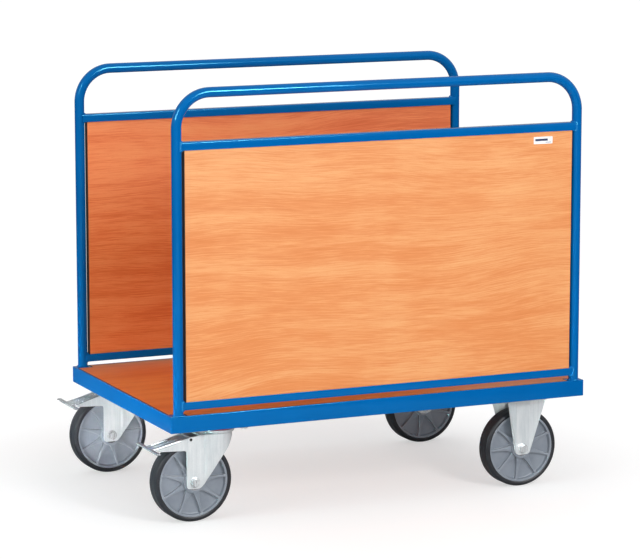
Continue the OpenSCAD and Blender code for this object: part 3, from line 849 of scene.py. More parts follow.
def make_cross_members():
    low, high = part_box("cross_members")
    bm = bmesh.new()
    half_w = high.y
    for x in member_places():
        outer = box_outline(x - MEMBER_W / 2, x + MEMBER_W / 2, low.z, high.z, 2 * MM, 3)
        inner = box_outline(x - MEMBER_W / 2 + MEMBER_WALL, x + MEMBER_W / 2 - MEMBER_WALL,
                            low.z + MEMBER_WALL, high.z - MEMBER_WALL, 0.8 * MM, 3)
        rings = []
        for outline, y in ((outer, -half_w), (outer, half_w), (inner, half_w), (inner, -half_w)):
            rings.append([Vector((p[0], y, p[1])) for p in outline])
        add_loops(bm, rings, close_round=True)
    made = finish_mesh("painted_cross_members", bm, PAINT, smooth_angle=40)
    hand_over(made, "chassis", "blue_powder_coat", "cross_members")


def make_corner_plates():
    low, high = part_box("corner_plates")
    length = HALF_L - RAIL_T
    bm = bmesh.new()
    for sx in (-1, 1):
        for sy in (-1, 1):
            x0, x1 = sorted((MID_X + sx * length, MID_X + sx * (length - CORNER_PLATE[0])))
            y0, y1 = sorted((sy * high.y, sy * (high.y - CORNER_PLATE[1])))
            add_prism(bm, box_outline(x0, x1, y0, y1, 2 * MM, 3), low.z, high.z, "xy")
    made = finish_mesh("painted_corner_plates", bm, PAINT, bevel=0.6 * MM)
    hand_over(made, "chassis", "blue_powder_coat", "corner_plates")


def make_board(name, low, high, thin_axis, face_material, notches=()):
    """A coated board: decor on its two faces, a dark brown edge round it that paints the shade of the gaps
    beside it, edges eased.
    """
    bm = bmesh.new()
    axes = {"y": "xz", "z": "xy"}[thin_axis]
    u, v = ("xyz".index(a) for a in axes)
    w = "xyz".index(thin_axis)
    if notches:
        outline = rounded(notches, 2)
    else:
        outline = box_outline(low[u], high[u], low[v], high[v], 0.0)
    add_prism(bm, outline, low[w], high[w], axes)
    bm.normal_update()
    for face in bm.faces:
        face.material_index = 0 if abs(face.normal[w]) > 0.9 else 1
    return finish_mesh(name, bm, [face_material, BOARD_EDGE_PAINTED_SHADE], bevel=1.1 * MM, steps=2, edge_slot=1)


def make_deck():
    low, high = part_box("deck_board")
    gap = 0.75 * MM
    cut_x = CORNER_PLATE[0] + gap
    cut_y = CORNER_PLATE[1] + gap
    corner = 2 * MM
    outline = []
    for sx, sy, first in ((-1, -1, True), (1, -1, False), (1, 1, True), (-1, 1, False)):
        x = high.x if sx > 0 else low.x
        y = high.y if sy > 0 else low.y
        steps = [(x, y - sy * cut_y, 0), (x - sx * cut_x, y - sy * cut_y, corner), (x - sx * cut_x, y, 0)]
        outline += steps if first else reversed(steps)
    # The deck's decor is a darker, redder copy: painted shade.
    made = make_board("deck_board_finished", low, high, "z", DECK_DECOR_PAINTED_SHADE, outline)
    hand_over(made, "chassis", "beech_laminate", "deck_board")


# ---------------------------------------------------------------- side walls


def make_tube_frame(side):
    y = SIDES[side] * POST_Y
    corners = [(-POST_X, DECK_Z), (-POST_X, TUBE_TOP), (POST_X, TUBE_TOP), (POST_X, DECK_Z)]
    path = [Vector((MID_X + x, y, z)) for x, z in corners]
    made = grow(f"painted_tube_frame_{side}", path_mesh("tube_path", [path]), BENT_TUBE, {
        "Bend Radius": TUBE_BEND, "Bend Steps": 28, "Tube Radius": TUBE_R, "Tube Sides": 48}, PAINT, 60)
    hand_over(made, "chassis", "blue_powder_coat", f"tube_frame_{side}")


def make_bar(node, mouth_up):
    """A channel bar that holds the panel's edge, its mouth towards the panel."""
    low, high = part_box(node)
    wall, corner, lip = BAR_WALL, 3 * MM, 0.5 * MM
    z_floor, z_mouth = (low.z, high.z) if mouth_up else (high.z, low.z)
    z_inside = z_floor + wall * (1 if mouth_up else -1)
    section = rounded([
        (low.y, z_mouth, lip), (low.y, z_floor, corner), (high.y, z_floor, corner),
        (high.y, z_mouth, lip), (high.y - wall, z_mouth, lip),
        (high.y - wall, z_inside, corner - wall), (low.y + wall, z_inside, corner - wall),
        (low.y + wall, z_mouth, lip)], 4)
    bm = bmesh.new()
    add_prism(bm, section, low.x, high.x, "yz")
    made = finish_mesh("painted_" + node, bm, PAINT, smooth_angle=40)
    hand_over(made, "chassis", "blue_powder_coat", node)


def make_wall(side):
    make_tube_frame(side)
    make_bar(f"mid_bar_{side}", False)
    make_bar(f"low_bar_{side}", True)
    low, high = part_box(f"panel_{side}")
    # The far panel (side l) gets the darker decor copy: painted shade.
    panel = make_board(f"panel_{side}_finished", low, high, "y", BOARD[side])
    hand_over(panel, "chassis", "beech_laminate", f"panel_{side}")


def make_label_piece():
    low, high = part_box("label_plate")
    bm = bmesh.new()
    add_prism(bm, box_outline(low.x, high.x, low.z, high.z, 1.5 * MM), low.y, high.y, "xz")
    made = finish_mesh("blank_label", bm, LABEL, bevel=0.15 * MM, steps=1)
    hand_over(made, "chassis", "label_white", "label_plate")


def make_welds():
    """Beads where the bars meet the posts, round the posts' feet and at the cross members."""
    paths, feet = [], []
    foot = TUBE_R + 0.7 * MM
    for side, sign in SIDES.items():
        for end in (-1, 1):
            centre = Vector((MID_X + end * POST_X, sign * POST_Y, DECK_Z + 0.6 * MM))
            angles = [2 * pi * k / 48 for k in range(49)]
            feet.append([centre + foot * Vector((cos(a), sin(a), 0)) for a in angles])
            for node in (f"mid_bar_{side}", f"low_bar_{side}"):
                paths.append(saddle_path(node, end, sign))
    # The bar welds take the paler blue: a painted highlight.
    made = grow("bar_welds", path_mesh("weld_paths", paths), WELD_BEAD, {
        "Bead Radius": 2.9 * MM, "Ripple": 0.8 * MM, "Swell": 0.14, "Wander": 0.12 * MM, "Sides": 10,
        "Seed": 4}, WELD_PAINT_PAINTED_HIGHLIGHT)
    hand_over(made, "chassis", "blue_powder_coat")
    made = grow("post_foot_welds", path_mesh("foot_paths", feet), WELD_BEAD, {
        "Bead Radius": 2.0 * MM, "Ripple": 0.7 * MM, "Swell": 0.12, "Wander": 0.1 * MM, "Sides": 10,
        "Seed": 6}, PAINT)
    hand_over(made, "chassis", "blue_powder_coat")
    low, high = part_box("cross_members")
    seams = []
    for x in member_places():
        for sy in (-1, 1):
            for dx in (-1, 1):
                edge = x + dx * MEMBER_W / 2
                seams.append([Vector((edge, sy * high.y, z)) for z in (low.z + 1 * MM, high.z)])
            seams.append([Vector((x + dx * MEMBER_W / 2, sy * high.y, low.z)) for dx in (-1, 1)])
    made = grow("member_welds", path_mesh("seam_paths", seams), WELD_BEAD, {
        "Bead Radius": 2.4 * MM, "Ripple": 0.9 * MM, "Swell": 0.16, "Wander": 0.15 * MM, "Sides": 8,
        "Seed": 9}, PAINT)
    hand_over(made, "chassis", "blue_powder_coat")


def saddle_path(node, end, sign):
    """The line where a bar's top, outer face and underside meet a round post."""
    low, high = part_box(node)
    outer = high.y if sign > 0 else low.y
    reach = abs(outer) - POST_Y
    tight = TUBE_R + 0.2 * MM
    points = []

    def on_post(across, z):
        """The point on the post's surface, across being the distance outside its axis."""
        x = MID_X + end * (POST_X - sqrt(tight ** 2 - across ** 2))
        points.append(Vector((x, sign * (POST_Y + across), z)))

    start = -7 * MM
    steps = 8
    for k in range(steps):
        on_post(start + (reach - start) * k / steps, high.z)
    for k in range(steps + 1):
        on_post(reach, high.z + (low.z - high.z) * k / steps)
    for k in range(1, steps):
        on_post(reach + (start - reach) * k / steps, low.z)
    return points


# ---------------------------------------------------------------- wheels


def make_tyre(end, side):
    """Rubber tyre with round shoulders and the mould's seam round its middle."""
    shoulder, seam, wall_r = 8 * MM, 0.5 * MM, WHEEL_R - 9.5 * MM
    half = [(WHEEL_R - seam, seam, 0), (WHEEL_R, seam * 2, 0), (WHEEL_R, TYRE_HALF, shoulder),
            (wall_r, TYRE_HALF - 0.4 * MM, 3 * MM), (SEAT_R, TYRE_HALF - 2 * MM, 0)]
    outline = rounded([(r, -y, ease) for r, y, ease in reversed(half)] + half, 8)
    bm = bmesh.new()
    add_turned(bm, outline, wheel_centre(end, side), steps=160)
    made = finish_mesh(f"{end}_tyre_{side}_moulded", bm, RUBBER, smooth_angle=35)
    hand_over(made, f"{end}_wheel_{side}", "tyre_rubber", f"{end}_tyre_{side}")


def make_rib():
    """One rib through the web: flared at the barrel, slim at the rim, its long edges eased."""
    inner, outer = BARREL_R - 3 * MM, RIM_IN_R + 1.5 * MM
    slim, root, foot = 2.3 * MM, 7.0 * MM, 1.4 * MM
    step, sag = 1.2 * MM, 1.6 * MM
    stations = 12
    bm = bmesh.new()
    loops = []
    for k in range(stations + 1):
        t = k / stations
        radius = inner + t * (outer - inner)
        half = slim + root * (1 - t) ** 2.8 + foot * max(0, t - 0.85) / 0.15
        top = RIM_HALF - step - sag * sin(pi * t)
        section = box_outline(-half, half, -top, top, 1.1 * MM, 3)
        loops.append([Vector((radius, p[1], p[0])) for p in section])
    add_loops(bm, loops)
    bmesh.ops.recalc_face_normals(bm, faces=bm.faces)
    return plain_mesh("rib", bm)


def make_hub(end, side):
    """Nylon hub: barrel, recessed web and a raised outer ring, with ribs on both faces."""
    half = []
    seat_back = BARREL_HALF - BEARING_W
    lip = SEAT_R + 0.4 * MM
    for sign in (-1, 1):
        side_points = [
            (BEARING_R - 3 * MM, sign * seat_back, 0), (BEARING_R, sign * seat_back, 0),
            (BEARING_R, sign * BARREL_HALF, 0.5 * MM), (BARREL_R, sign * BARREL_HALF, 1.2 * MM),
            (BARREL_R + 1.0 * MM, sign * WEB_HALF, 3.5 * MM),
            ((BARREL_R + RIM_IN_R) / 2, sign * (WEB_HALF - 1.0 * MM), 30 * MM),
            (RIM_IN_R - 0.9 * MM, sign * WEB_HALF, 3.0 * MM), (RIM_IN_R, sign * RIM_HALF, 1.0 * MM),
            (lip - 0.4 * MM, sign * RIM_HALF, 0.8 * MM), (lip, sign * (RIM_HALF - 2.5 * MM), 0)]
        half.append(side_points)
    outline = rounded(half[0] + half[1][::-1], 5)
    bm = bmesh.new()
    add_turned(bm, outline, wheel_centre(end, side), steps=144)
    body = finish_mesh("hub_body", bm, NYLON, smooth_angle=40)
    ribs = grow("hub_ribs", make_rib(), RING_OF_COPIES,
                {"Count": RIBS, "Phase": radians(RIB_PHASE[end]), "About Z": False}, NYLON, 40)
    ribs.data.transform(Matrix.Translation(wheel_centre(end, side)))
    made = join(f"{end}_hub_{side}_moulded", [body, ribs])
    hand_over(made, f"{end}_wheel_{side}", "hub_nylon", f"{end}_hub_{side}")


# ---------------------------------------------------------------- casters


def sheet_from_blank(bm, blank, path, levels, shape=None):
    """Bends a flat blank, an outline in (along path, up), round a plan path of (x, y) points.
    The blank is first scored at each path point and each level so that it can follow both."""
    lengths = [0.0]
    for a, b in zip(path, path[1:]):
        lengths.append(lengths[-1] + (Vector(b) - Vector(a)).length)
    flat = bmesh.new()
    flat.faces.new([flat.verts.new((p[0], 0, p[1])) for p in blank])
    cuts = [((u, 0, 0), (1, 0, 0)) for u in lengths[1:-1]] + [((0, 0, z), (0, 0, 1)) for z in levels]
    for place, normal in cuts:
        geometry = list(flat.verts) + list(flat.edges) + list(flat.faces)
        bmesh.ops.bisect_plane(flat, geom=geometry, plane_co=place, plane_no=normal, dist=1e-6)
    for vert in flat.verts:
        u, z = vert.co.x, vert.co.z
        k = max(i for i in range(len(path) - 1) if lengths[i] <= u + 1e-9 or i == 0)
        t = (u - lengths[k]) / (lengths[k + 1] - lengths[k])
        x = path[k][0] + t * (path[k + 1][0] - path[k][0])
        y = path[k][1] + t * (path[k + 1][1] - path[k][1])
        vert.co = shape(x, y, z) if shape else Vector((x, y, z))
    mesh = plain_mesh("blank", flat)
    bm.from_mesh(mesh)
    bpy.data.meshes.remove(mesh)


def smooth_step(value, low, high):
    t = min(1.0, max(0.0, (value - low) / (high - low)))
    return t * t * (3 - 2 * t)


def swivel_plan():
    """Plan of the pressed fork: two cheeks closed by a half round at the swivel axis."""
    scored = (-60, -28, -21, -14, 0, 14, 22, 24, 26, 28, 30, 32, 36, 42, 50, 60)
    path = [(-ARM_REACH, -FORK_OUT)] + [(x * MM, -FORK_OUT) for x in scored]
    steps = 18
    for k in range(steps + 1):
        angle = -pi / 2 + pi * k / steps
        path.append((TRAIL + FORK_OUT * cos(angle), FORK_OUT * sin(angle)))
    return path + [(x, -y) for x, y in reversed(path[:-steps - 1])]


def swivel_blank(path):
    """Outline of the unrolled fork, symmetric about its front: arm, leg, raked edge and back.
    Distances run along the sheet from the arm's end; heights are from the ground."""
    length = sum((Vector(b) - Vector(a)).length for a, b in zip(path, path[1:]))
    foot = wheel_centre("rear", "r").z - FORK_FOOT
    bend = TRAIL + ARM_REACH

    def along(x):
        return x * MM + ARM_REACH

    front = bend + FORK_OUT * asin(min(1.0, (97 * MM - TRAIL) / FORK_OUT))
    half = [
        (0, 187 * MM, 1 * MM), (0, 183 * MM, 1 * MM), (along(-50), 181 * MM, 8 * MM),
        (along(-21), 180 * MM, 7 * MM), (along(-21), foot, 8 * MM), (along(14), foot, 12 * MM),
        (along(24), 94 * MM, 4 * MM), (front, 206 * MM, 6 * MM)]
    top = [(along(13), CUP_Z - 1 * MM, 4 * MM), (along(-20), 209 * MM, 6 * MM)]
    mirror = [(length - u, z, r) for u, z, r in reversed(half)]
    mirror_top = [(length - u, z, r) for u, z, r in reversed(top)]
    return rounded(half + mirror + mirror_top + top, 5)


def flare(x, y, z):
    """Presses the fork outwards beyond a crease down each cheek, more so under the swivel head."""
    raised = smooth_step(z, 104 * MM, 122 * MM)
    grow_by = 2.4 * MM * smooth_step(x, 24 * MM, 31 * MM) * raised
    grow_by += 3.0 * MM * smooth_step(x, 34 * MM, 56 * MM) * smooth_step(z, 120 * MM, 205 * MM)
    away = Vector((0, 1 if y > 0 else -1))
    if x > TRAIL:
        away = (Vector((x, y)) - Vector((TRAIL, 0))).normalized()
    return Vector((x + away.x * grow_by, y + away.y * grow_by, z))


def drill(made, centre, radius, half):
    """Cuts a round hole along Y."""
    bm = bmesh.new()
    angles = [2 * pi * k / 24 for k in range(24)]
    add_loops(bm, [[centre + Vector((radius * cos(a), y, radius * sin(a))) for a in angles]
                   for y in (-half, half)])
    bmesh.ops.recalc_face_normals(bm, faces=bm.faces)
    mesh = plain_mesh("drill", bm)
    cutter = make_object("drill", mesh)
    cut = made.modifiers.new("hole", "BOOLEAN")
    cut.object = cutter
    cut.solver = "EXACT"
    settle(made)
    bpy.data.objects.remove(cutter)
    made.data.set_sharp_from_angle(angle=radians(50))


def make_swivel_fork(side):
    centre = wheel_centre("rear", side)
    path = swivel_plan()
    levels = [(100 + 12 * k) * MM for k in range(10)]
    bm = bmesh.new()
    sheet_from_blank(bm, swivel_blank(path), path, levels, flare)
    sheet = finish_mesh("fork_sheet", bm, ZINC, SHEET, CUT_EDGE, bevel_angle=55, smooth_angle=50)
    drill(sheet, PIVOT, PIN_R + 0.3 * MM, FORK_OUT + 3 * MM)
    made = join(f"swivel_fork_{side}_pressed", [sheet, make_crown()])
    made.data.transform(Matrix.Translation((centre.x, centre.y, 0)))
    hand_over(made, f"swivel_{side}", "zinc_plate", f"swivel_fork_{side}")


def make_crown():
    """Top of the swivel fork: a plate with a round front and the pressed cup of the ball race."""
    bm = bmesh.new()
    wide = FORK_OUT + 4.6 * MM
    steps = 24
    outline = [Vector((12 * MM, -FORK_OUT)), Vector((34 * MM, -FORK_OUT)), Vector((52 * MM, -wide))]
    for k in range(steps + 1):
        angle = -pi / 2 + pi * k / steps
        outline.append(Vector((TRAIL + wide * cos(angle), wide * sin(angle))))
    outline += [Vector((52 * MM, wide)), Vector((34 * MM, FORK_OUT)), Vector((12 * MM, FORK_OUT))]
    add_prism(bm, outline, CROWN_Z - 1.5 * MM, CUP_Z, "xy")
    plate = finish_mesh("crown_plate", bm, ZINC, bevel=2.0 * MM, bevel_angle=60, steps=3)
    bm = bmesh.new()
    axis = (TRAIL, 0, 0)
    seal_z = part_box("head_seal_r")[0].z
    foot, waist = CUP_Z - 0.5 * MM, CUP_Z + 2.5 * MM
    cup = rounded([
        (KINGPIN_HOLE_R, foot, 0), (HEAD_R - 4.5 * MM, foot, 0), (HEAD_R, waist, 2 * MM),
        (HEAD_R, seal_z, 1.2 * MM), (HEAD_R - 3 * MM, seal_z, 1.2 * MM),
        (HEAD_R - 3.6 * MM, waist, 1.5 * MM), (KINGPIN_HOLE_R, CUP_Z + 2 * MM, 0)], 4)
    add_turned(bm, cup, axis, "z", 96)
    ring = finish_mesh("race_cup", bm, ZINC, smooth_angle=40)
    return join("crown", [plate, ring])


def make_swivel_head(side):
    """Bolted top plate with the upper race, the balls between the races and the red seal."""
    low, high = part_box(f"swivel_plate_{side}")
    axis = Vector(((low.x + high.x) / 2, (low.y + high.y) / 2, 0))
    plate = make_top_plate(axis)
    bm = bmesh.new()
    bore, into_plate = 8 * MM, RAIL_Z0 + 0.5 * MM
    race = rounded([
        (bore, low.z, 0), (30 * MM, low.z, 1 * MM), (RACE_R, low.z, 2 * MM), (RACE_R, into_plate, 0),
        (bore, into_plate, 0)], 4)
    add_turned(bm, race, axis, "z", 72)
    upper = finish_mesh("upper_race", bm, ZINC, smooth_angle=40)
    made = join(f"swivel_plate_{side}_plated", [plate, upper])
    hand_over(made, "chassis", "zinc_plate", f"swivel_plate_{side}")
    bm = bmesh.new()
    seal_low, seal_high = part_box(f"head_seal_{side}")
    inside, outside = RACE_R + 1 * MM, RACE_R + 4 * MM
    lip = rounded([
        (inside, seal_low.z, 0.5 * MM), (outside - 0.3 * MM, seal_low.z, 0.9 * MM),
        (outside, seal_high.z, 0.9 * MM), (inside, seal_high.z, 0.5 * MM)], 3)
    add_turned(bm, lip, axis, "z", 96)
    seal = finish_mesh(f"head_seal_{side}_moulded", bm, SEAL, smooth_angle=40)
    hand_over(seal, f"swivel_{side}", "seal_red", f"head_seal_{side}")
    make_balls(side, axis)


def make_balls(side, axis):
    low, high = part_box(f"race_balls_{side}")
    bm = bmesh.new()
    radius = (high.z - low.z) / 2
    bmesh.ops.create_icosphere(bm, subdivisions=2, radius=radius)
    bmesh.ops.translate(bm, verts=bm.verts, vec=((high.x - low.x) / 2 - radius, 0, (low.z + high.z) / 2))
    mesh = plain_mesh("ball", bm)
    made = grow(f"race_balls_{side}_ground", mesh, RING_OF_COPIES,
                {"Count": BALLS, "Phase": 0.0, "About Z": True}, STEEL, 60)
    made.data.transform(Matrix.Translation(axis))
    hand_over(made, f"swivel_{side}", "bearing_steel", f"race_balls_{side}")


def make_top_plate(axis):
    """Caster top plate with round corners."""
    bm = bmesh.new()
    outline = box_outline(axis.x - PLATE_LENGTH / 2, axis.x + PLATE_LENGTH / 2,
                          axis.y - PLATE_WIDTH / 2, axis.y + PLATE_WIDTH / 2, 10 * MM, 6)
    add_prism(bm, outline, RAIL_Z0, RAIL_Z0 + PLATE_T, "xy")
    return finish_mesh("top_plate", bm, ZINC, bevel=0.8 * MM)


def fixed_plan(sign):
    """Plan of one cheek of the fixed fork: flat at the axle, its edges leaning away from the wheel."""
    setback = FIXED_BEND * tan(FIXED_LEAN / 2)
    reach = FIXED_WING - setback
    steps = 5
    path = []
    for sx in (-1, 1):
        turn = []
        for k in range(steps + 1):
            angle = FIXED_LEAN * (1 - k / steps)
            x = FIXED_FLAT - setback + FIXED_BEND * sin(angle)
            turn.append((sx * x, sign * (FORK_OUT + FIXED_BEND * (1 - cos(angle)))))
        edge = turn[0]
        tip = (edge[0] + sx * reach * cos(FIXED_LEAN), edge[1] + sign * reach * sin(FIXED_LEAN))
        stretch = [tip] + turn
        path += stretch if sx < 0 else stretch[::-1]
    return path


def make_fixed_fork(side):
    """Two cheeks with flared edges that widen towards the top plate."""
    centre = wheel_centre("front", side)
    foot = centre.z - FORK_FOOT
    top = RAIL_Z0 + 1 * MM
    levels = [(100 + 16 * k) * MM for k in range(8)]
    pieces = [make_top_plate(Vector((0, 0, 0)))]
    for sign in (-1, 1):
        path = fixed_plan(sign)
        length = sum((Vector(b) - Vector(a)).length for a, b in zip(path, path[1:]))
        middle = length / 2
        half = [(middle, top, 0), (middle, top - 10 * MM, 20 * MM),
                (FIXED_FLAT + FIXED_FOOT_WING, centre.z + 8 * MM, 20 * MM),
                (FIXED_FLAT - 1 * MM, foot, 10 * MM)]
        outline = [(middle + u, z, r) for u, z, r in half]
        outline += [(middle - u, z, r) for u, z, r in reversed(half)]
        bm = bmesh.new()
        sheet_from_blank(bm, rounded(outline, 6), path, levels)
        thick = SHEET if sign < 0 else -SHEET
        pieces.append(finish_mesh("cheek", bm, ZINC, thick, CUT_EDGE, bevel_angle=55, smooth_angle=50))
    made = join(f"fixed_fork_{side}_pressed", pieces)
    made.data.transform(Matrix.Translation((centre.x, centre.y, 0)))
    hand_over(made, "chassis", "zinc_plate", f"fixed_fork_{side}")


# ---------------------------------------------------------------- pedals


def make_pedal(side):
    """Pressed tongue on the cross pin, with a raised bead and a slot, and the bar to step on."""
    centre = wheel_centre("rear", side)
    low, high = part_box(f"brake_pedal_{side}")
    bar_low, bar_high = low.z, low.z + 4 * MM
    reach = centre.x + PIVOT.x - low.x
    drop = PIVOT.z + 2 * MM - (bar_low + bar_high) / 2
    slope = atan2(drop, reach - EYE_R)
    tongue = reach / cos(slope) - EYE_R
    half = 24 * MM
    tongue_sheet = make_tongue(tongue, half)
    tongue_sheet.data.transform(Matrix.Rotation(-slope, 4, "Y"))
    bm = bmesh.new()
    bore, ease = PIN_R + 0.1 * MM, 0.8 * MM
    barrel = rounded([(bore, -half, 0), (EYE_R, -half, ease), (EYE_R, half, ease), (bore, half, 0)], 3)
    add_turned(bm, barrel, (0, 0, 0), "y", 40)
    eye = finish_mesh("pedal_eye", bm, PEDAL_ZINC_PAINTED_SHADE, smooth_angle=40)
    bm = bmesh.new()
    bar_half = (high.y - low.y) / 2
    back = -reach
    outline = box_outline(back, back + 12 * MM, -bar_half, bar_half, 5.5 * MM, 6)
    add_prism(bm, outline, bar_low - PIVOT.z, bar_high - PIVOT.z, "xy")
    bar = finish_mesh("pedal_bar", bm, PEDAL_ZINC_PAINTED_SHADE, bevel=1.4 * MM, steps=3)
    made = join(f"brake_pedal_{side}_pressed", [tongue_sheet, eye, bar])
    made.data.transform(Matrix.Translation((centre.x + PIVOT.x, centre.y, PIVOT.z)))
    hand_over(made, f"pedal_{side}", "zinc_plate", f"brake_pedal_{side}")


def make_tongue(length, half):
    """The tongue before it is tilted: rows along its length, columns across, flanges turned down."""
    skin = 2.6 * MM
    top_z = 4 * MM
    flange = 5 * MM
    slot_x = (-length + 12 * MM, -length + 56 * MM)
    slot_y = (8 * MM, 15 * MM)
    bead_y, bead_half = -6 * MM, 4.5 * MM
    across = sorted([-half + 3 * MM + k * (2 * half - 6 * MM) / 28 for k in range(29)] + list(slot_y))
    rows = sorted([-length * k / 26 for k in range(27)] + list(slot_x))

    def lift(x, y):
        """Height of the pressed bead and of the lip round the slot."""
        along = smooth_step(-x, 22 * MM, 32 * MM) * smooth_step(x + length, 8 * MM, 16 * MM)
        bead = max(0.0, 1 - ((y - bead_y) / bead_half) ** 2) * 2.6 * MM
        gap = max(slot_y[0] - y, y - slot_y[1], slot_x[0] - x, x - slot_x[1])
        lip = max(0.0, 1 - (max(0.0, gap) / (2.6 * MM)) ** 2) * 1.6 * MM
        return along * bead + lip

    edge = [(half, -flange), (half, -2 * MM), (half - 0.9 * MM, -0.6 * MM)]
    bm = bmesh.new()
    grid = []
    for x in rows:
        profile = [(-y, top_z + z) for y, z in edge]
        profile += [(y, top_z + lift(x, y)) for y in across]
        profile += [(y, top_z + z) for y, z in reversed(edge)]
        grid.append([bm.verts.new((x, y, z)) for y, z in profile])
    for i in range(len(grid) - 1):
        for j in range(len(grid[i]) - 1):
            middle = (grid[i][j].co + grid[i + 1][j + 1].co) / 2
            if slot_x[0] < middle.x < slot_x[1] and slot_y[0] < middle.y < slot_y[1]:
                continue
            bm.faces.new((grid[i][j], grid[i][j + 1], grid[i + 1][j + 1], grid[i + 1][j]))
    bmesh.ops.recalc_face_normals(bm, faces=bm.faces)
    up = sum(face.normal.z for face in bm.faces)
    thick = skin if up > 0 else -skin
    return finish_mesh("pedal_tongue", bm, PEDAL_ZINC_PAINTED_SHADE, thick=thick, bevel=0.4 * MM, bevel_angle=60, steps=1)


# ---------------------------------------------------------------- fasteners


def add_flange(bm, centre, bore, sign):
    """Round flange under an axle's hexagon, lying on the fork's outer face."""
    wide, narrow, rim, thick = 13 * MM, 10 * MM, 1.1 * MM, 2 * MM
    outline = [(bore, 0, 0), (wide, 0, 0), (wide, rim, 0.6 * MM), (narrow, thick, 0), (bore, thick, 0)]
    add_turned(bm, rounded([(r, sign * (FORK_OUT + y), ease) for r, y, ease in outline], 3), centre, "y", 48)


def make_axle_bolt(end, side):
    """Axle bolt along Y: flanged hexagon head outside, thread end inside."""
    centre = wheel_centre(end, side)
    bm = bmesh.new()
    tip = FORK_OUT + 14 * MM
    pitch = 1.75 * MM
    shaft = [(0, -FORK_OUT), (AXLE_R, -FORK_OUT), (AXLE_R, FORK_OUT)]
    y = FORK_OUT
    while y < tip - pitch:
        shaft += [(AXLE_R - 0.2 * MM, y), (AXLE_R - 1.0 * MM, y + pitch / 2)]
        y += pitch
    shaft += [(AXLE_R - 0.4 * MM, tip - 1.2 * MM), (AXLE_R - 1.4 * MM, tip), (0, tip)]
    add_turned(bm, [(max(r, 0.05 * MM), a) for r, a in shaft], centre, "y", 36)
    add_flange(bm, centre, 0.2 * MM, -1)
    add_hex(bm, centre + Vector((0, -FORK_OUT - 1.9 * MM, 0)), "y", BOLT_AF, 7.4 * MM, sign=-1)
    return finish_mesh(f"{end}_axle_bolt_{side}", bm, BOLT_ZINC, smooth_angle=35)


def make_axle_nut(end, side):
    centre = wheel_centre(end, side)
    bm = bmesh.new()
    add_flange(bm, centre, AXLE_R + 0.3 * MM, 1)
    add_hex(bm, centre + Vector((0, FORK_OUT + 1.9 * MM, 0)), "y", BOLT_AF, 9 * MM, bore=AXLE_R + 0.1 * MM)
    return finish_mesh(f"{end}_axle_nut_{side}", bm, BOLT_ZINC, smooth_angle=35)


def make_axle_fasteners():
    fixed_bolts, fixed_nuts = [], []
    for side in SIDES:
        hand_over(make_axle_bolt("rear", side), f"swivel_{side}", "zinc_plate", f"swivel_axle_bolt_{side}")
        hand_over(make_axle_nut("rear", side), f"swivel_{side}", "zinc_plate", f"swivel_axle_nut_{side}")
        fixed_bolts.append(make_axle_bolt("front", side))
        fixed_nuts.append(make_axle_nut("front", side))
    hand_over(join("fixed_axle_bolts_plated", fixed_bolts), "chassis", "zinc_plate", "fixed_axle_bolts")
    hand_over(join("fixed_axle_nuts_plated", fixed_nuts), "chassis", "zinc_plate", "fixed_axle_nuts")


def caster_axes():
    """Middles of the four caster top plates."""
    places = []
    for side in SIDES:
        low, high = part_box(f"swivel_plate_{side}")
        places.append(Vector(((low.x + high.x) / 2, (low.y + high.y) / 2, 0)))
        centre = wheel_centre("front", side)
        places.append(Vector((centre.x, centre.y, 0)))
    return places


def copies_at_casters(name, build):
    """A fastener at each hole of each caster top plate, as one piece."""
    pieces = []
    for axis in caster_axes():
        bm = bmesh.new()
        build(bm)
        bmesh.ops.recalc_face_normals(bm, faces=bm.faces)
        mesh = plain_mesh("fastener", bm)
        item = grow("fasteners", mesh, GRID_OF_COPIES,
                    {"Pitch X": HOLE_X, "Pitch Y": HOLE_Y, "Count X": 2, "Count Y": 2}, BOLT_ZINC, 35)
        item.data.transform(Matrix.Translation(axis))
        pieces.append(item)
    return join(name, pieces)


def make_caster_fasteners():
    low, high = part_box("caster_bolts")
    nut_low, nut_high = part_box("caster_nuts")
    shank = 5 * MM

    across_flats = 17 * MM

    def bolt(bm):
        washer = RAIL_Z0 - 1.2 * MM
        seat = RAIL_Z0 - 1.1 * MM
        flange = [(0.1 * MM, RAIL_Z0), (0.1 * MM, washer), (9.4 * MM, washer), (9.8 * MM, RAIL_Z0)]
        add_turned(bm, flange, (0, 0, 0), "z", 32)
        add_hex(bm, (0, 0, seat), "z", across_flats, seat - low.z, sign=-1)
        add_turned(bm, [(0.1 * MM, RAIL_Z0 - 2 * MM), (shank, RAIL_Z0 - 2 * MM), (shank, high.z - 1 * MM),
                        (shank - 1 * MM, high.z), (0.1 * MM, high.z)], (0, 0, 0), "z", 24)

    def nut(bm):
        add_hex(bm, (0, 0, nut_low.z), "z", across_flats, nut_high.z - nut_low.z, bore=shank + 0.1 * MM)

    hand_over(copies_at_casters("caster_bolts_plated", bolt), "chassis", "zinc_plate", "caster_bolts")
    hand_over(copies_at_casters("caster_nuts_plated", nut), "chassis", "zinc_plate", "caster_nuts")


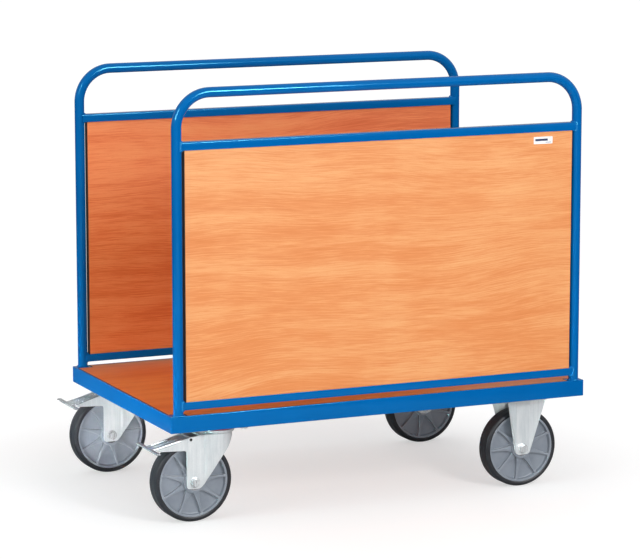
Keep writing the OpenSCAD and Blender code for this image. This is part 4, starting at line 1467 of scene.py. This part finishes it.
def make_deck_screws():
    """Pan-head screws that hold the deck from below: two rows in the side rails, one pair in each end."""
    head, shank, length = 4.5 * MM, 2.5 * MM, 16 * MM
    turn = 1.6 * MM
    side = [(0.1 * MM, -0.9 * MM), (1.5 * MM, -1.2 * MM), (1.9 * MM, -2.5 * MM), (3.2 * MM, -2.5 * MM),
            (4.3 * MM, -1.5 * MM), (head, -0.5 * MM), (head, 0), (shank, 0)]
    z = turn
    while z < length - 3 * MM:
        side += [(shank, z), (shank - 0.6 * MM, z + turn / 2)]
        z += turn
    side += [(shank, z), (0.1 * MM, length)]
    row_x, row_y = 4 * HALF_L / 7, 2 * HALF_W - LEDGE_IN - RAIL_T
    grids = [(2 * row_x, row_y), (row_x, row_y), (2 * HALF_L - LEDGE_IN - RAIL_T, 4 * HALF_W / 5)]
    pieces = []
    for pitch_x, pitch_y in grids:
        bm = bmesh.new()
        add_turned(bm, side, (0, 0, 0), "z", 24)
        bmesh.ops.recalc_face_normals(bm, faces=bm.faces)
        mesh = plain_mesh("screw", bm)
        item = grow("screws", mesh, GRID_OF_COPIES,
                    {"Pitch X": pitch_x, "Pitch Y": pitch_y, "Count X": 2, "Count Y": 2}, BOLT_ZINC, 35)
        item.data.transform(Matrix.Translation((MID_X, 0, LEDGE_Z1 - RAIL_T)))
        pieces.append(item)
    hand_over(join("deck_screws_plated", pieces), "chassis", "zinc_plate", "deck_screws")


# ---------------------------------------------------------------- assembly


def finish_cad_nodes():
    """Materials for the CAD nodes that stay as they are."""
    finishes = {
        # The pedal pin is near black: painted shade of its hole.
        "kingpin": BOLT_ZINC, "pedal_pin": PIN_PAINTED_SHADE, "sleeve": BOLT_ZINC,
        "bearings": STEEL, "brake_shoe": BRAKE_PAD}
    for name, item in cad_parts.items():
        if item.hide_render:
            continue
        found = [finish for key, finish in finishes.items() if key in name]
        item.data.materials.clear()
        item.data.materials.append(found[0] if found else ZINC)


make_platform()
for wall in SIDES:
    make_wall(wall)
    make_swivel_fork(wall)
    make_swivel_head(wall)
    make_fixed_fork(wall)
    make_pedal(wall)
    for axle in ("rear", "front"):
        make_tyre(axle, wall)
        make_hub(axle, wall)
make_label_piece()
make_welds()
make_axle_fasteners()
make_caster_fasteners()
make_deck_screws()
finish_cad_nodes()

# ---------------------------------------------------------------- stage, light and camera


FLOOR_GLOW = 0.52
FLOOR_GAP = 0.2 * MM


def make_floor():
    """Pale floor that takes soft shadows near the trolley and runs out into plain white."""
    bm = bmesh.new()
    bmesh.ops.create_grid(bm, x_segments=1, y_segments=1, size=30)
    mesh = plain_mesh("floor", bm)
    made, tree, inputs, coords = start_material("pale_floor", Roughness=0.7, Specular_IOR_Level=0.1)
    reach = add(tree, "ShaderNodeVectorMath", {0: coords}, operation="LENGTH").outputs["Value"]
    far_off = spread(tree, reach, 0.70, 1.10)
    tone = spread(tree, noise(tree, coords, 3.0, 3.0), 0.3, 0.7)
    pale = blend_colours(tree, tone, (0.55, 0.54, 0.54, 1), (0.57, 0.56, 0.56, 1))
    path = add(tree, "ShaderNodeLightPath").outputs
    place = add(tree, "ShaderNodeSeparateXYZ", {0: coords}).outputs
    # In reflections the floor is painted darker towards +X and +Y: painted shade in what the paint and zinc
    # reflect.
    shade = calc(tree, "MAXIMUM", spread(tree, place["X"], 0.6, 1.2), spread(tree, place["Y"], 0.0, 0.8))
    reflected_shade = calc(tree, "MULTIPLY", path["Is Glossy Ray"], calc(tree, "MULTIPLY", shade, 0.9))
    pale = blend_colours(tree, reflected_shade, pale, (0, 0, 0, 1))
    seen = path["Is Camera Ray"]
    tree.links.new(blend_colours(tree, calc(tree, "MULTIPLY", far_off, seen), pale, (0, 0, 0, 1)),
                   inputs["Base Color"])
    inputs["Emission Color"].default_value = (1, 1, 1, 1)
    glow = spread(tree, far_off, 0.0, 1.0, FLOOR_GLOW, 1.02)
    tree.links.new(calc(tree, "MULTIPLY", glow, seen), inputs["Emission Strength"])
    mesh.materials.append(made)
    floor = make_object("floor", mesh)
    floor.location.z = -FLOOR_GAP


def make_softbox(name, place, target, width, height, power, colour=(1, 1, 1), spread_angle=180,
                 diffuse=True, glossy=True):
    """A rectangular area light, in metres and watts, that faces the target."""
    light = bpy.data.lights.new(name, "AREA")
    light.shape = "RECTANGLE"
    light.size, light.size_y = width, height
    light.energy = power
    light.color = colour
    light.spread = radians(spread_angle)
    made = bpy.data.objects.new(name, light)
    bpy.context.scene.collection.objects.link(made)
    made.visible_diffuse, made.visible_glossy = diffuse, glossy
    made.location = place
    made.rotation_euler = (Vector(target) - Vector(place)).to_track_quat("-Z", "Y").to_euler()


def make_world():
    """Even studio light, brighter overhead; plain white where the camera sees it."""
    world = bpy.data.worlds.new("studio")
    bpy.context.scene.world = world
    world.use_nodes = True
    tree = world.node_tree
    tree.nodes.clear()
    direction = add(tree, "ShaderNodeTexCoord").outputs["Generated"]
    height = add(tree, "ShaderNodeSeparateXYZ", {0: direction}).outputs["Z"]
    strength = spread(tree, height, 0.0, 0.8, 0.43, 0.68)
    seen = add(tree, "ShaderNodeLightPath").outputs["Is Camera Ray"]
    white = add(tree, "ShaderNodeBackground", {"Color": (1, 1, 1, 1), "Strength": 1.02})
    studio = add(tree, "ShaderNodeBackground", {"Color": (1, 1, 1, 1), "Strength": strength})
    mixed = add(tree, "ShaderNodeMixShader", {0: seen, 1: studio.outputs[0], 2: white.outputs[0]})
    add(tree, "ShaderNodeOutputWorld", {0: mixed.outputs[0]})


def make_camera():
    """Camera off the rear right corner, above the walls and looking slightly down through a long lens."""
    stand = Vector((MID_X - 3.064, -6.785, 1.744))
    yaw, pitch = 0.4224, 0.1636
    ahead = Vector((sin(yaw) * cos(pitch), cos(yaw) * cos(pitch), -sin(pitch)))
    data = bpy.data.cameras.new("camera")
    data.sensor_fit = "HORIZONTAL"
    data.sensor_width = 36
    data.lens = 166.07
    data.clip_end = 200
    made = bpy.data.objects.new("camera", data)
    bpy.context.scene.collection.objects.link(made)
    made.location = stand
    made.rotation_euler = ahead.to_track_quat("-Z", "Y").to_euler()
    bpy.context.scene.camera = made


make_floor()
make_world()
make_softbox("key_softbox", (0.85, -4.4, 2.5), (0, 0, 0.5), 1.2, 1.5, 92)
make_softbox("tube_strip", (1.15, -4.2, 2.5), (0, 0, 0.8), 1.1, 1.0, 150, diffuse=False)
make_softbox("left_softbox", (-3.9, -1.3, 1.5), (0, 0, 0.4), 1.8, 1.6, 34, glossy=False)
make_softbox("low_fill", (-1.8, -4.6, 0.35), (0, 0, 0.15), 3.0, 0.5, 40, glossy=False)
make_softbox("rear_beam", (-2.6, -0.1, 0.24), (0, -0.1, 0.22), 1.0, 0.12, 1.5, (0.55, 1.0, 0.94), 24,
             glossy=False)
make_softbox("far_beam", (-1.9, -1.3, 0.07), (-0.42, 0.27, 0.12), 0.5, 0.10, 0.50, spread_angle=10,
             glossy=False)
make_softbox("bend_strip", (-4.0, -2.0, 2.6), (-0.5, -0.3, 1.0), 0.5, 1.6, 120, diffuse=False)
make_camera()
bpy.context.scene.view_settings.view_transform = "Standard"
